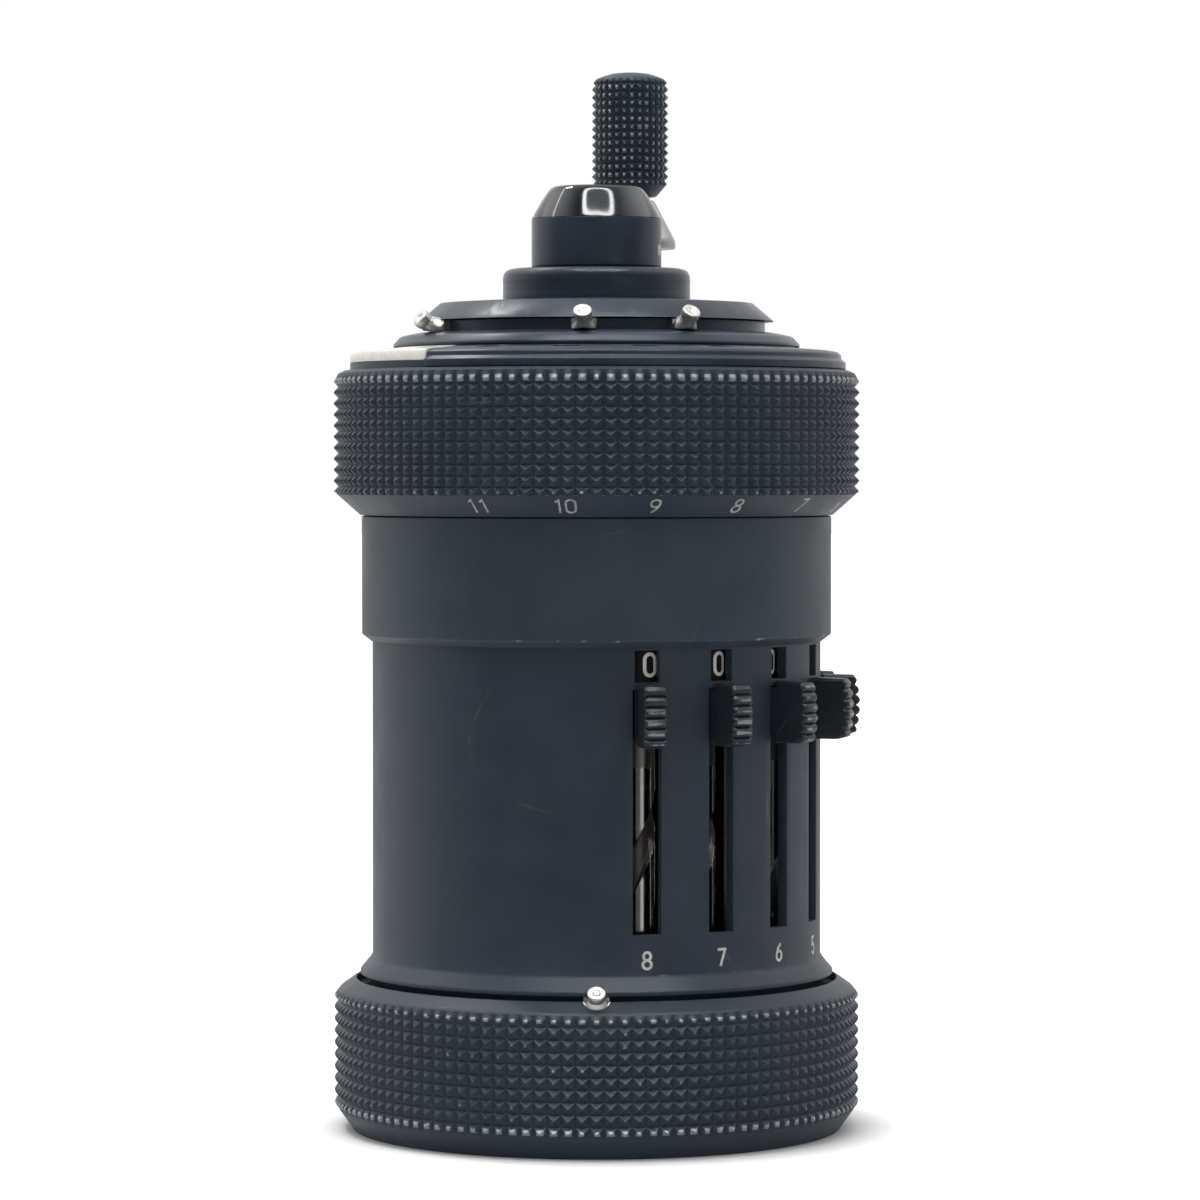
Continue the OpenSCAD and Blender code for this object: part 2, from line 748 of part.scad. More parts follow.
module slider(k) {
    finger_top = finger_z + finger_h;
    rotate([0, 0, slider_angle(k)]) {
        color(enamel_dark)
            difference() {
                union() {
                    translate([-finger_w / 2, 0, 0])
                        rotate([90, 0, 90])
                            linear_extrude(height = finger_w)
                                polygon(concat(
                                    [[-finger_from, finger_z], [-finger_to + 1.5, finger_z]],
                                    ridge_points(),
                                    [[-finger_to + 0.9, finger_top], [-finger_from, finger_top]]
                                ));
                    radial_block(slot_w - 2 * neck_clear, spindle_c + spindle_r + 0.5,
                        finger_from + 0.5, slider_z - neck_h / 2, slider_z + neck_h / 2);
                    at_place(0, spindle_c)
                        rod(block_r, block_z, block_z + block_h);
                    radial_block(3.5, shaft_c - 0.8, spindle_c, block_z, block_z + fork_h);
                }
                at_place(0, spindle_c)
                    rod(spindle_r + run + 0.03, block_z - 3, slider_z + neck_h);
                at_place(0, shaft_c)
                    rod(pinion_hub_r + run, block_z - 1, block_z + fork_h + run);
                radial_block(2 * (pinion_hub_r + run), shaft_c - 2, shaft_c, block_z - 1,
                    block_z + fork_h + run);
            }
        color(steel)
            at_place(0, spindle_c)
                spoke(follower_angle, slider_z, follower_r, spindle_r - spiral_depth + 0.2,
                    spindle_r + 0.5);
        color(brass)
            at_place(0, shaft_c)
                difference() {
                    union() {
                        translate([0, 0, pinion_z])
                            linear_extrude(height = pinion_h)
                                polygon(gear_points(pinion_teeth, pinion_r, pinion_r - 0.7));
                        rod(pinion_hub_r, block_z - 0.5, pinion_z + 0.5);
                        rod(pinion_hub_r + 0.4, block_z - 0.5 - run, block_z - run);
                    }
                    translate([-square_w / 2 - run, -square_w / 2 - run, block_z - 2])
                        cube([square_w + 2 * run, square_w + 2 * run, block_h + 4]);
                }
    }
}

// Setting dial: spindle with a spiral groove, and the number drum behind the window
z_spindle = z_base_plate + 1;
z_dial = z_window - 0.2;
z_dial_top = z_window_top + 0.2;
spiral_sides = 10;
spiral_half = 24;
spiral_slice = 18;

function notch_points() =
    let (step = (360 - 2 * spiral_half) / spiral_sides)
        concat(
            [for (i = [0:spiral_sides]) let (a = spiral_half + i * step)
                [spindle_r * sin(a), -spindle_r * cos(a)]],
            [for (a = [-spiral_half * 0.7, spiral_half * 0.7])
                [(spindle_r - spiral_depth) * sin(a), -(spindle_r - spiral_depth) * cos(a)]]
        );

module setting_dial(k) {
    turn = spiral_rate * (z_dial + 0.4 - z_spindle);
    color(steel)
        at_place(slider_angle(k), spindle_c)
            union() {
                rod(journal_r, z_base_plate - bearing_depth + pass, z_spindle + 0.5);
                rotate([0, 0, follower_angle - spiral_rate * (slider_z - z_spindle)])
                    translate([0, 0, z_spindle])
                        linear_extrude(height = z_dial + 0.4 - z_spindle, twist = -turn,
                                       slices = round(turn / spiral_slice), segments = 0)
                            polygon(notch_points());
                rod(dial_r, z_dial, z_dial_top);
                rod(journal_r, z_dial_top, z_top_plate - top_plate_h + bearing_depth - pass);
            }
}

// Thrust ring: rises with the carriage but does not turn, and carries the spring
module carriage_thrust_ring() {
    color(steel)
        tube_ring(pocket_r - pass, tube_r + run, z_thrust, z_thrust + thrust_h);
}

// Carriage ring: knurled grip with the numbered bevel, and outer bearing of every dial
module carriage_ring() {
    skirt_r = grip_r - room;
    color(enamel)
        difference() {
            union() {
                rotate_extrude()
                    polygon([
                        [ring_in - 3.4, z_carriage], [skirt_r - skirt_w, z_carriage],
                        [skirt_r, z_band], [knurl_bed, z_band + 0.15],
                        [knurl_bed, z_band_top], [rim_r + 0.45, z_ring_top],
                        [rim_r, z_ring_top], [rim_r, z_rim], [ring_in, z_rim],
                        [ring_in, z_carriage + 1], [ring_in - 3.4, z_carriage + 1]
                    ]);
                knurl_band(ring_in + 1, z_band + 0.15, z_band_top);
            }
            for (a = dial_angles)
                spoke(a, z_axle, axle_r + run, ring_in - 1, ring_in + 0.9);
        }
}

dial_angles = concat(
    [for (n = [1:results]) result_angle(n)],
    [for (n = [1:counters]) counter_angle(n)]
);

// Dial frame: hub on the tube, spring pocket, inner bearing of every dial, and marker track
bearing_w = 2.3;
bearing_half = 1.6;
z_deck = z_rim - 0.2;

module dial_frame() {
    z_hub_floor = z_thrust - run;
    color(enamel)
        difference() {
            rotate_extrude()
                polygon([
                    [tube_r + run, z_hub_floor - 1.8], [hub_out, z_hub_floor - 1.8],
                    [hub_out, z_axle - bearing_half], [hub_out + bearing_w, z_axle - bearing_half],
                    [hub_out + bearing_w, z_axle + bearing_half], [hub_out, z_axle + bearing_half],
                    [hub_out, z_deck], [cover_in - 0.2, z_deck], [cover_in - 0.2, z_track],
                    [track_r, z_track], [track_r, z_track + track_h - track_chamfer],
                    [track_r - track_chamfer, z_track + track_h + 0.15],
                    [track_in + 1.1, z_track_groove], [track_in, z_track_groove],
                    [track_in, z_plate - pass], [hub_out, z_plate - pass],
                    [hub_out, z_plate_top - 0.2], [pocket_r, z_plate_top - 0.2],
                    [pocket_r, z_hub_floor], [tube_r + run, z_hub_floor]
                ]);
            for (a = dial_angles)
                spoke(a, z_axle, axle_r + run, hub_out + bearing_w - 1.6,
                    hub_out + bearing_w + 1);
        }
}

// Windows in a cover, one over each of the dials named
module dial_windows(angles) {
    for (a = angles)
        rotate([0, 0, a])
            radial_block(dial_window_w, ring_in - 3.2, ring_in - 0.6, z_rim - 1, z_cover + 1);
}

// Black cover over the result dials, with a skirt outside the rim
module result_cover() {
    z_under = z_rim + run;
    color(enamel_dark)
        difference() {
            sector(split_angle, home_angle - 360 * floor((home_angle - split_angle) / 360)
                   + place / 2)
                polygon([
                    [cover_in, z_under], [rim_r + run, z_under],
                    [rim_r + run, z_ring_top + 0.15], [rim_r + 0.35, z_ring_top + 0.15],
                    [rim_r + 0.25, z_ring_top + 0.5], [rim_r - 0.85, z_under + cover_edge_h],
                    [cover_in, z_cover]
                ]);
            dial_windows([for (n = [1:results]) result_angle(n)]);
        }
}

// White cover over the counter dials, flush with the rim
module counter_cover() {
    z_under = z_rim + run;
    color(white)
        difference() {
            sector(home_angle + place / 2, split_angle - 0.15)
                polygon([
                    [cover_in, z_under], [rim_r, z_under], [rim_r, z_under + cover_edge_h],
                    [rim_r - 0.3, z_under + cover_edge_h + 0.25], [cover_in, z_cover]
                ]);
            dial_windows([for (n = [1:counters]) counter_angle(n)]);
        }
}

// Carriage dial: number drum, carry cam and gear on one radial axle
module carriage_dial(angle) {
    drum_out = ring_in - 0.4;
    gear_from = hub_out + bearing_w + 0.5;
    color(enamel_dark)
        union() {
            spoke(angle, z_axle, axle_r, hub_out + bearing_w - 1.5, ring_in + 0.8);
            spoke(angle, z_axle, dial_r, drum_out - drum_band, drum_out);
            rotate([0, 0, angle])
                for (w = [[gear_from, dial_gear_r], [gear_from + 3, dial_gear_r - 0.3]])
                    translate([0, -w[0], z_axle])
                        rotate([90, 0, 0])
                            linear_extrude(height = dial_gear_w)
                                polygon(gear_points(10, w[1], w[1] - 0.6));
        }
}

// Clearing plate: turns a full turn round the cap to set the dials to zero
z_head = z_track_groove + stud_lift + stud_len * sin(45) + head_r;
z_loop = z_head + room / 2;
rivet_r = 0.9;
recess_reach = rivet_inset + 4.3;

module clearing_plate() {
    color(enamel_dark)
        difference() {
            rotate_extrude()
                polygon([
                    [hub_out + run, z_plate], [plate_r, z_plate],
                    [plate_r - plate_bevel_w, z_plate + plate_bevel_h],
                    [hub_out + run, z_plate_top]
                ]);
            at_place(home_angle, rivet_c) {
                rod(loop_arm_w / 2 + 0.2, z_loop - run, z_plate_top + 1);
                sector(0, fold_angle)
                    translate([0, z_loop - run])
                        square([recess_reach, loop_h + 2]);
                for (a = [0, fold_angle])
                    rotate([0, 0, a])
                        radial_block(loop_arm_w + 0.4, 0, recess_reach, z_loop - run,
                            z_loop + loop_h + 2);
            }
        }
    color(steel)
        at_place(home_angle, rivet_c)
            union() {
                rod(rivet_r, z_loop - run, z_loop + loop_h + pass);
                rod(rivet_r + 0.5, z_loop + loop_h + run, z_loop + loop_h + 0.35);
            }
}

// Clearing ring: finger loop on a flat arm that folds about the rivet
module finger_ring() {
    color(steel)
        at_place(home_angle, rivet_c)
            difference() {
                union() {
                    rod(loop_arm_w / 2, z_loop, z_loop + loop_h);
                    radial_block(loop_arm_w, 0, loop_reach - loop_hole_r - 0.5, z_loop,
                        z_loop + loop_h);
                    translate([0, -loop_reach, 0])
                        rod(loop_r, z_loop, z_loop + loop_h);
                }
                translate([0, -loop_reach, 0])
                    rod(loop_hole_r, z_loop - 1, z_loop + loop_h + 1);
                rod(rivet_r + run, z_loop - 1, z_loop + loop_h + 1);
            }
}

// Reversing lever: small push piece that slides in its own slot at the back
reverse_z = z_slot_top - neck_clear - reverse_neck / 2;
reverse_bevel = 0.8;
reverse_dip = 0.5;

module reversing_lever() {
    half = reverse_h / 2;
    out = body_r + reverse_out;
    color(enamel_dark)
        rotate([0, 0, reverse_angle])
            union() {
                translate([-reverse_w / 2 - 0.4, 0, 0])
                    rotate([90, 0, 90])
                        linear_extrude(height = reverse_w + 0.8)
                            polygon([
                                [-finger_from, reverse_z - half],
                                [-out + reverse_bevel, reverse_z - half],
                                [-out, reverse_z - half + reverse_bevel],
                                [-out + reverse_dip, reverse_z],
                                [-out, reverse_z + half - reverse_bevel],
                                [-out + reverse_bevel, reverse_z + half],
                                [-finger_from, reverse_z + half]
                            ]);
                radial_block(reverse_w - 2 * neck_clear, body_in - 1.5, finger_from + 0.5,
                    reverse_z - reverse_neck / 2, reverse_z + reverse_neck / 2);
                radial_block(reverse_w + 2, body_in - 3.4, body_in - 0.5,
                    reverse_z - reverse_neck / 2, reverse_z + reverse_neck / 2);
            }
}

// Stud of a decimal marker, leaning outwards by half a right angle from its foot
module leaning_stud(foot, neck, head) {
    rotate([45, 0, 0]) {
        cylinder(r1 = foot, r2 = neck, h = stud_len / 2 + foot / 4);
        cylinder(r = neck, h = stud_len);
        translate([0, 0, stud_len])
            sphere(r = head);
    }
}

// Upper decimal marker: a shoe in the track's groove and a stud outside the clearing plate
shoe_half = 4;

module top_marker(n) {
    foot_c = plate_r;
    color(steel)
        rotate([0, 0, top_marker_angles[n - 1]])
            union() {
                sector(-shoe_half, shoe_half)
                    translate([track_in + run, z_track_groove + run])
                        square([plate_r - track_in - 0.1, track_groove_h - 2 * run]);
                difference() {
                    translate([0, -foot_c, z_track_groove + stud_lift])
                        leaning_stud(marker_foot_r, marker_neck_r, head_r);
                    rod(track_r + 2, z_track_groove - 3, z_track_groove + run);
                    rod(track_in + run, z_track_groove - 3, z_plate + 3);
                    rod(plate_r + 0.1, z_plate - run, z_plate + 3);
                }
            }
}

// Lower decimal marker: slides in the open groove between the base cup and the sleeve
low_shoe_half = 3;

module bottom_marker() {
    foot_c = body_r + foot_w;
    color(steel)
        rotate([0, 0, bottom_marker_angle])
            union() {
                sector(-low_shoe_half, low_shoe_half)
                    translate([body_r + run, base_h + run])
                        square([foot_w, base_groove_h - 2 * run]);
                difference() {
                    translate([0, -foot_c - 0.15, base_h + 0.2])
                        leaning_stud(marker_foot_r + 0.15, marker_neck_r + 0.07, head_r + 0.07);
                    rod(grip_r, base_h - 3, base_h + run);
                    rod(body_r + run, base_h - 3, z_foot + 3);
                    rod(foot_c + 0.1, z_foot - run, z_foot + 3);
                }
            }
}

base_cup();
base_plate();
housing_sleeve();
upper_collar();
top_bearing_plate();
spring_cap();
frame_posts();
transmission_shafts();
carriage_spring();
shift_collar();
main_shaft();
stepped_drum();
crank_hub();
crank_arm();
crank_knob();
for (k = [1:sliders]) slider(k);
for (k = [1:sliders]) setting_dial(k);
carriage_thrust_ring();
carriage_ring();
dial_frame();
result_cover();
counter_cover();
for (n = [1:results])
    carriage_dial(result_angle(n));
for (n = [1:counters])
    carriage_dial(counter_angle(n));
clearing_plate();
finger_ring();
reversing_lever();
top_marker(1);  // top_marker_1
top_marker(2);  // top_marker_2
top_marker(3);  // top_marker_3
bottom_marker();
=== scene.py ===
# %% [markdown]
# # A pocket calculating machine, dressed in Blender
#
# The real object is a black-enamelled cylinder for one hand: a knurled cup at the foot, a slotted
# sleeve with eight sliders, a knurled carriage with number dials, and a crank on top. Its CAD
# model is the fixed frame. Each cell below makes one visible piece as a surface worked out with
# numpy, in millimetres, and hangs it on the CAD body that it moves with.

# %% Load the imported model
import json

import bpy
import numpy as np
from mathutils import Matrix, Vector


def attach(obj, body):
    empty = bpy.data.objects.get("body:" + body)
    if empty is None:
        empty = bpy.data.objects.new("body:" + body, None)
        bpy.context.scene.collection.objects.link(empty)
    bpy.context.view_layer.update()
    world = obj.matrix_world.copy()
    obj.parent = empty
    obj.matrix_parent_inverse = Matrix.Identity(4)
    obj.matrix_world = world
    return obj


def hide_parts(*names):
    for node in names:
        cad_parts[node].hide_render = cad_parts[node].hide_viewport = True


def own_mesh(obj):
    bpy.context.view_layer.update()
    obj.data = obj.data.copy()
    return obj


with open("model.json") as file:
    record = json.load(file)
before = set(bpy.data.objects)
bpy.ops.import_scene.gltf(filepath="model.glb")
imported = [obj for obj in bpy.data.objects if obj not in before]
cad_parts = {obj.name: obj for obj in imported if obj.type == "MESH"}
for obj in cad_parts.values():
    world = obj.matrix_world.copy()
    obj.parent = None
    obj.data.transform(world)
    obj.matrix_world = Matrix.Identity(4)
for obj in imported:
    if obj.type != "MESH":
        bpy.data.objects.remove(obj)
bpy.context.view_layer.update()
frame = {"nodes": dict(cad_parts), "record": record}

MM = 0.001
FRONT = -82.5    # where the camera stands, in degrees round the machine

# %% [markdown]
# ## Surfaces from arrays
#
# Nearly all of this machine was turned on a lathe. So the first helper rounds the corners of a
# profile, the second carries a profile round the main axis, and the third does the same but leaves
# windows open. Directions round the machine are counted in degrees from the front (-Y) towards +X.

# %% From arrays to an object
def make_piece(name, points, faces, body, slot, worn=None, finish=None, sharp=32):
    """A new piece from corners (n, 3) in mm and a list of face arrays, each (m, 3) or (m, 4).

    worn is a number at each corner, which the enamel reads as bare edges and the metals as dark
    brown; on the collar's rim it makes a painted highlight, and on the spindles partly painted
    shade.
    finish names a material of its own where the slot's plain one won't do."""
    sizes = np.concatenate([np.full(len(f), f.shape[1]) for f in faces])
    corners = np.concatenate([f.ravel() for f in faces]).astype(np.int32)
    used, corners = np.unique(corners, return_inverse=True)
    mesh = bpy.data.meshes.new(name)
    mesh.vertices.add(len(used))
    mesh.vertices.foreach_set("co", (points[used] * MM).astype(np.float32).ravel())
    mesh.loops.add(len(corners))
    mesh.loops.foreach_set("vertex_index", corners.ravel().astype(np.int32))
    mesh.polygons.add(len(sizes))
    mesh.polygons.foreach_set("loop_start", (np.cumsum(sizes) - sizes).astype(np.int32))
    mesh.update(calc_edges=True)
    if worn is not None:
        layer = mesh.attributes.new("worn", "FLOAT", "POINT")
        layer.data.foreach_set("value", worn[used].astype(np.float32))
    mesh.shade_smooth()
    mesh.set_sharp_from_angle(angle=np.radians(sharp))
    piece = bpy.data.objects.new(name, mesh)
    bpy.context.scene.collection.objects.link(piece)
    mesh.materials.append(paint[finish or slot])
    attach(piece, body)
    print(f"{name}: {len(used)} corners, {len(sizes)} faces, rides on {body}")
    return piece


def joined(parts):
    """One set of corners and faces from several (points, faces) pairs."""
    starts = np.cumsum([0] + [len(p) for p, _ in parts])
    return (np.concatenate([p for p, _ in parts]),
            [f + start for (_, faces), start in zip(parts, starts) for f in faces])


# %% Rounded profiles
def rounded(corners, steps=4):
    """The outline through rows of (radius, height, cut), with each corner cut back by that much.

    A corner becomes the curve (1-t)^2 a + 2t(1-t) corner + t^2 b between its two cut points."""
    path = np.array([c[:2] for c in corners], float)
    cuts = [c[2] if len(c) > 2 else 0 for c in corners]
    t = np.linspace(0, 1, steps + 1)[:, None]
    rows = []
    for i, (corner, cut) in enumerate(zip(path, cuts)):
        before, after = path[i - 1] - corner, path[(i + 1) % len(path)] - corner
        if cut == 0:
            rows.append(corner[None])
            continue
        a = corner + before / np.linalg.norm(before) * cut
        b = corner + after / np.linalg.norm(after) * cut
        rows.append((1 - t) ** 2 * a + 2 * t * (1 - t) * corner + t ** 2 * b)
    return np.concatenate(rows)


# %% Grids and turned surfaces
def grid_faces(columns, rows, wrap_columns=False, wrap_rows=False):
    """Quads of a grid whose corner (column i, row j) has number i * rows + j."""
    i = np.arange(columns if wrap_columns else columns - 1)[:, None]
    j = np.arange(rows if wrap_rows else rows - 1)[None, :]
    i2, j2 = (i + 1) % columns, (j + 1) % rows
    return np.stack(np.broadcast_arrays(i * rows + j, i2 * rows + j, i2 * rows + j2,
                                        i * rows + j2), -1).reshape(-1, 4)


def fan(centre, a, b):
    """Triangles from one corner to each pair of neighbours a[i], b[i]."""
    return np.stack([np.full(len(a), centre), a, b], -1)


def round_axis(turns, radius, height):
    """Corners at x = r sin(turn), y = -r cos(turn), z = height, for turns in degrees."""
    turns = np.radians(turns)
    turns, radius, height = np.broadcast_arrays(turns, radius, height)
    return np.stack([radius * np.sin(turns), -radius * np.cos(turns), height], -1).reshape(-1, 3)


def turned(profile, steps=256, closed=True):
    """Carries a profile of (radius, height) rows round the main axis.

    The outside lies to the right of the profile's path. A closed profile makes a ring, and an open
    one starts and ends on the axis, where its first and last rows shrink to one corner each."""
    turns = np.arange(steps) * 360 / steps
    if closed:
        return (round_axis(turns[:, None], profile[None, :, 0], profile[None, :, 1]),
                [grid_faces(steps, len(profile), True, True)])
    inner = profile[1:-1]
    points = round_axis(turns[:, None], inner[None, :, 0], inner[None, :, 1])
    first = np.arange(steps) * len(inner)
    after = np.roll(first, -1)
    rise = len(inner) - 1
    faces = [grid_faces(steps, len(inner), True), fan(len(points), after, first),
             fan(len(points) + 1, first + rise, after + rise)]
    return np.vstack([points, [0, 0, profile[0, 1]], [0, 0, profile[-1, 1]]]), faces


# %% Shells with windows
def shell(turns, outer, inner, solid, wrap=True):
    """A wall between two profiles of (radius, height) rows, open where solid is False.

    solid has one value for each cell, (columns, rows - 1). Where a solid cell has an open one or
    nothing beside it, the two skins are joined by a narrow wall that faces the opening."""
    skins = [round_axis(turns[:, None], p[None, :, 0], p[None, :, 1]) for p in (outer, inner)]
    count = len(skins[0])
    grid = grid_faces(len(turns), len(outer), wrap).reshape(-1, len(outer) - 1, 4)
    before, after = np.roll(solid, 1, 0), np.roll(solid, -1, 0)
    if not wrap:
        before[0], after[-1] = False, False
    edge = np.zeros((len(solid), 1), bool)
    under = np.hstack([edge, solid[:, :-1]])
    over = np.hstack([solid[:, 1:], edge])
    a, b, c, d = (grid[..., k] for k in range(4))
    faces = [grid[solid], grid[solid][:, ::-1] + count]
    for open_side, p, q in ((~after, b, c), (~before, d, a), (~over, c, d), (~under, a, b)):
        at = solid & open_side
        faces.append(np.stack([p[at], p[at] + count, q[at] + count, q[at]], -1))
    return np.concatenate(skins), faces


def placed(shape, turn, reach=0.0, height=0.0):
    """Points and faces, moved out from the main axis and turned to a direction round it."""
    points, faces = shape
    turn = np.radians(turn)
    x, y = points[:, 0], points[:, 1] - reach
    return np.stack([x * np.cos(turn) - y * np.sin(turn), x * np.sin(turn) + y * np.cos(turn),
                     points[:, 2] + height], -1), faces


# %% Modifiers made final
def soften(piece, width, segments=2):
    """Rounds every edge sharper than 35 degrees, and keeps the result as the piece's own mesh."""
    rounding = piece.modifiers.new("edges", "BEVEL")
    rounding.width, rounding.segments = width * MM, segments
    rounding.limit_method, rounding.angle_limit = "ANGLE", np.radians(35)
    rounding.use_clamp_overlap = True
    graph = bpy.context.evaluated_depsgraph_get()
    mesh = bpy.data.meshes.new_from_object(piece.evaluated_get(graph))
    piece.modifiers.clear()
    mesh.shade_smooth()
    mesh.set_sharp_from_angle(angle=np.radians(32))
    piece.data, spare = mesh, piece.data
    bpy.data.meshes.remove(spare)


# %% [markdown]
# ## Finishes
#
# The machine is stove-enamelled steel. The film is almost black, slightly blue, and satin, with a
# grain that shows only as a soft break in the highlights. Hands have rubbed it bare on the knurl
# and on its rims; the thin bare line round the collar's rim is a painted highlight. An effect that
# several finishes share is a node group, which puts out masks and heights, and each material keeps
# its own shader.

# %% Node helpers
def is_socket(value):
    return isinstance(value, bpy.types.NodeSocket)


def add(tree, kind, links=None, **settings):
    """Adds a node, sets its properties, and links or sets its inputs."""
    made = tree.nodes.new(kind)
    for key, value in settings.items():
        setattr(made, key, value)
    for key, value in (links or {}).items():
        if is_socket(value):
            tree.links.new(value, made.inputs[key])
        else:
            made.inputs[key].default_value = value
    return made


def beside(kind, links, **settings):
    """Adds a node to the tree of the first socket that it is linked to."""
    return add(next(s.id_data for s in links.values() if is_socket(s)), kind, links, **settings)


def sums(operation, a, b=0.0):
    return beside("ShaderNodeMath", {0: a, 1: b}, operation=operation).outputs[0]


def times(a, b):
    return sums("MULTIPLY", a, b)


def plus(a, b):
    return sums("ADD", a, b)


def one_minus(a):
    return sums("SUBTRACT", 1.0, a)


def feed(node, **sockets):
    """Links a socket into each named input of a node."""
    for key, socket in sockets.items():
        node.id_data.links.new(socket, node.inputs[key.replace("_", " ")])


def steps_between(value, low, high):
    """0 below low, 1 above high, and smooth between."""
    return beside("ShaderNodeMapRange", {0: value, 1: low, 2: high},
                  interpolation_type="SMOOTHSTEP").outputs[0]


def effect(name, inputs, outputs):
    """An empty node group with float inputs {label: value} and float outputs."""
    tree = bpy.data.node_groups.new(name, "ShaderNodeTree")
    for label, value in inputs.items():
        tree.interface.new_socket(label, in_out="INPUT",
                                  socket_type="NodeSocketFloat").default_value = value
    for label in outputs:
        tree.interface.new_socket(label, in_out="OUTPUT", socket_type="NodeSocketFloat")
    place = add(tree, "ShaderNodeTexCoord").outputs["Object"]
    print("effect:", name)
    return tree, tree.nodes.new("NodeGroupInput").outputs, tree.nodes.new("NodeGroupOutput"), place


def noise(place, scale, detail, rough):
    """A noise whose grains are about 1 / scale metres across."""
    links = {"Vector": place, "Scale": scale, "Detail": detail, "Roughness": rough}
    return beside("ShaderNodeTexNoise", links).outputs["Fac"]


# %% Grain of the enamel
film, given, out, place = effect("enamel film", {"Grain": 4200.0, "Mottle": 160.0},
                                 ["Height", "Tone"])
grain = noise(place, given["Grain"], 3.0, 0.6)
cloud = noise(place, given["Mottle"], 4.0, 0.65)
feed(out, Height=plus(grain, times(cloud, 1.5)), Tone=steps_between(cloud, 0.32, 0.68))

# %% Bare edges, from the worn value that a piece carries
bare, given, out, place = effect("bare edges", {"Worn": 0.0, "Patches": 700.0, "Spread": 0.5},
                                 ["Mask"])
patches = noise(place, given["Patches"], 3.0, 0.7)
level = one_minus(given["Spread"])
strength = times(given["Worn"], patches)
feed(out, Mask=steps_between(strength, times(level, 0.75), level))

# %% Hair scratches and specks
scratch, given, out, place = effect("scratches", {"Scale": 60.0, "Amount": 0.5}, ["Mask"])
long_way = beside("ShaderNodeMapping", {"Vector": place, "Rotation": (0.5, 0.3, 0.9),
                                        "Scale": (1.0, 0.25, 0.6)}).outputs[0]
lines = noise(long_way, given["Scale"], 1.0, 0.4)
thin = steps_between(sums("ABSOLUTE", sums("SUBTRACT", lines, 0.5)), 0.0035, 0.0)
where = noise(place, 110.0, 3.0, 0.6)
rare = steps_between(where, sums("SUBTRACT", 0.86, given["Amount"]), 0.9)
feed(out, Mask=times(thin, rare))

# %% Turning marks of the lathe
lathe, given, out, place = effect("lathe marks", {"Pitch": 5200.0}, ["Height"])
x, y, z = beside("ShaderNodeSeparateXYZ", {0: place}).outputs
across = sums("SQRT", plus(times(x, x), times(y, y)))
ring_place = beside("ShaderNodeCombineXYZ", {0: across, 2: z}).outputs[0]
feed(out, Height=noise(ring_place, given["Pitch"], 2.0, 0.6))

# %% Drawn grain along the steel
drawn, given, out, place = effect("drawn steel", {"Grain": 6000.0}, ["Height", "Tone"])
streaks = beside("ShaderNodeMapping", {"Vector": place, "Scale": (1.0, 1.0, 0.05)}).outputs[0]
feed(out, Height=noise(streaks, given["Grain"], 2.0, 0.6),
     Tone=steps_between(noise(place, 900.0, 4.0, 0.7), 0.35, 0.75))


# %% Materials
paint = {}


def use(tree, group, **values):
    """A group node with its own values; a value may be a number or a socket."""
    return add(tree, "ShaderNodeGroup", {k.capitalize(): v for k, v in values.items()},
               node_tree=group).outputs


def mixed(factor, a, b):
    """Colour a where factor is 0 and colour b where it is 1; a colour is a socket or a triple."""
    a, b = (c if is_socket(c) else (*c, 1.0) for c in (a, b))
    return beside("ShaderNodeMix", {0: factor, 6: a, 7: b}, data_type="RGBA").outputs[2]


def bump(height, strength, depth):
    """The surface's normal, bent by a height of at most depth, in mm."""
    links = {"Height": height, "Strength": strength, "Distance": depth * MM}
    return beside("ShaderNodeBump", links).outputs[0]


def start(slot, **plain):
    """A new material whose shader has the plain values given, and its tree and shader."""
    material = bpy.data.materials.new(slot)
    material.use_nodes = True
    shader = material.node_tree.nodes["Principled BSDF"]
    for key, value in plain.items():
        shader.inputs[key.replace("_", " ")].default_value = value
    paint[slot] = material
    return material.node_tree, shader


# %% Enamel: satin, darker, glossy, and the duller black of the sliders and drums
def enamel(slot, tone, tone_2, rough, gloss, spread=0.5, grain=0.0016, scratches=0.35):
    """Blue-black film: two tones in slow clouds, bare grey metal on worn edges, hair scratches."""
    tree, shader = start(slot, Specular_IOR_Level=gloss, IOR=1.5)
    worn = add(tree, "ShaderNodeAttribute", attribute_name="worn").outputs["Fac"]
    skin = use(tree, film)
    marks = use(tree, scratch, amount=scratches)["Mask"]
    edge = use(tree, bare, worn=worn, spread=spread)["Mask"]
    colour = mixed(skin["Tone"], tone, tone_2)
    colour = mixed(times(marks, 0.5), colour, (0.3, 0.31, 0.32))
    colour = mixed(edge, colour, (0.26, 0.275, 0.29))
    feed(shader, Base_Color=colour, Metallic=times(edge, 0.6),
         Roughness=plus(times(skin["Tone"], 0.08), rough),
         Normal=bump(skin["Height"], 0.35, grain))


enamel("enamel", (0.0185, 0.0285, 0.0425), (0.0225, 0.0335, 0.0485), 0.42, 0.36)
enamel("collar_enamel", (0.024, 0.037, 0.05), (0.028, 0.042, 0.056), 0.42, 0.36, spread=0.0)
enamel("enamel_dark", (0.018, 0.0285, 0.0435), (0.022, 0.034, 0.051), 0.3, 0.4)
enamel("enamel_gloss", (0.010, 0.014, 0.02), (0.013, 0.018, 0.025), 0.05, 0.6, grain=0.0004)
enamel("slider_black", (0.011, 0.016, 0.022), (0.015, 0.021, 0.028), 0.36, 0.4, spread=0.6)
enamel("dial_black", (0.005, 0.006, 0.008), (0.008, 0.009, 0.011), 0.5, 0.3, scratches=0.1)
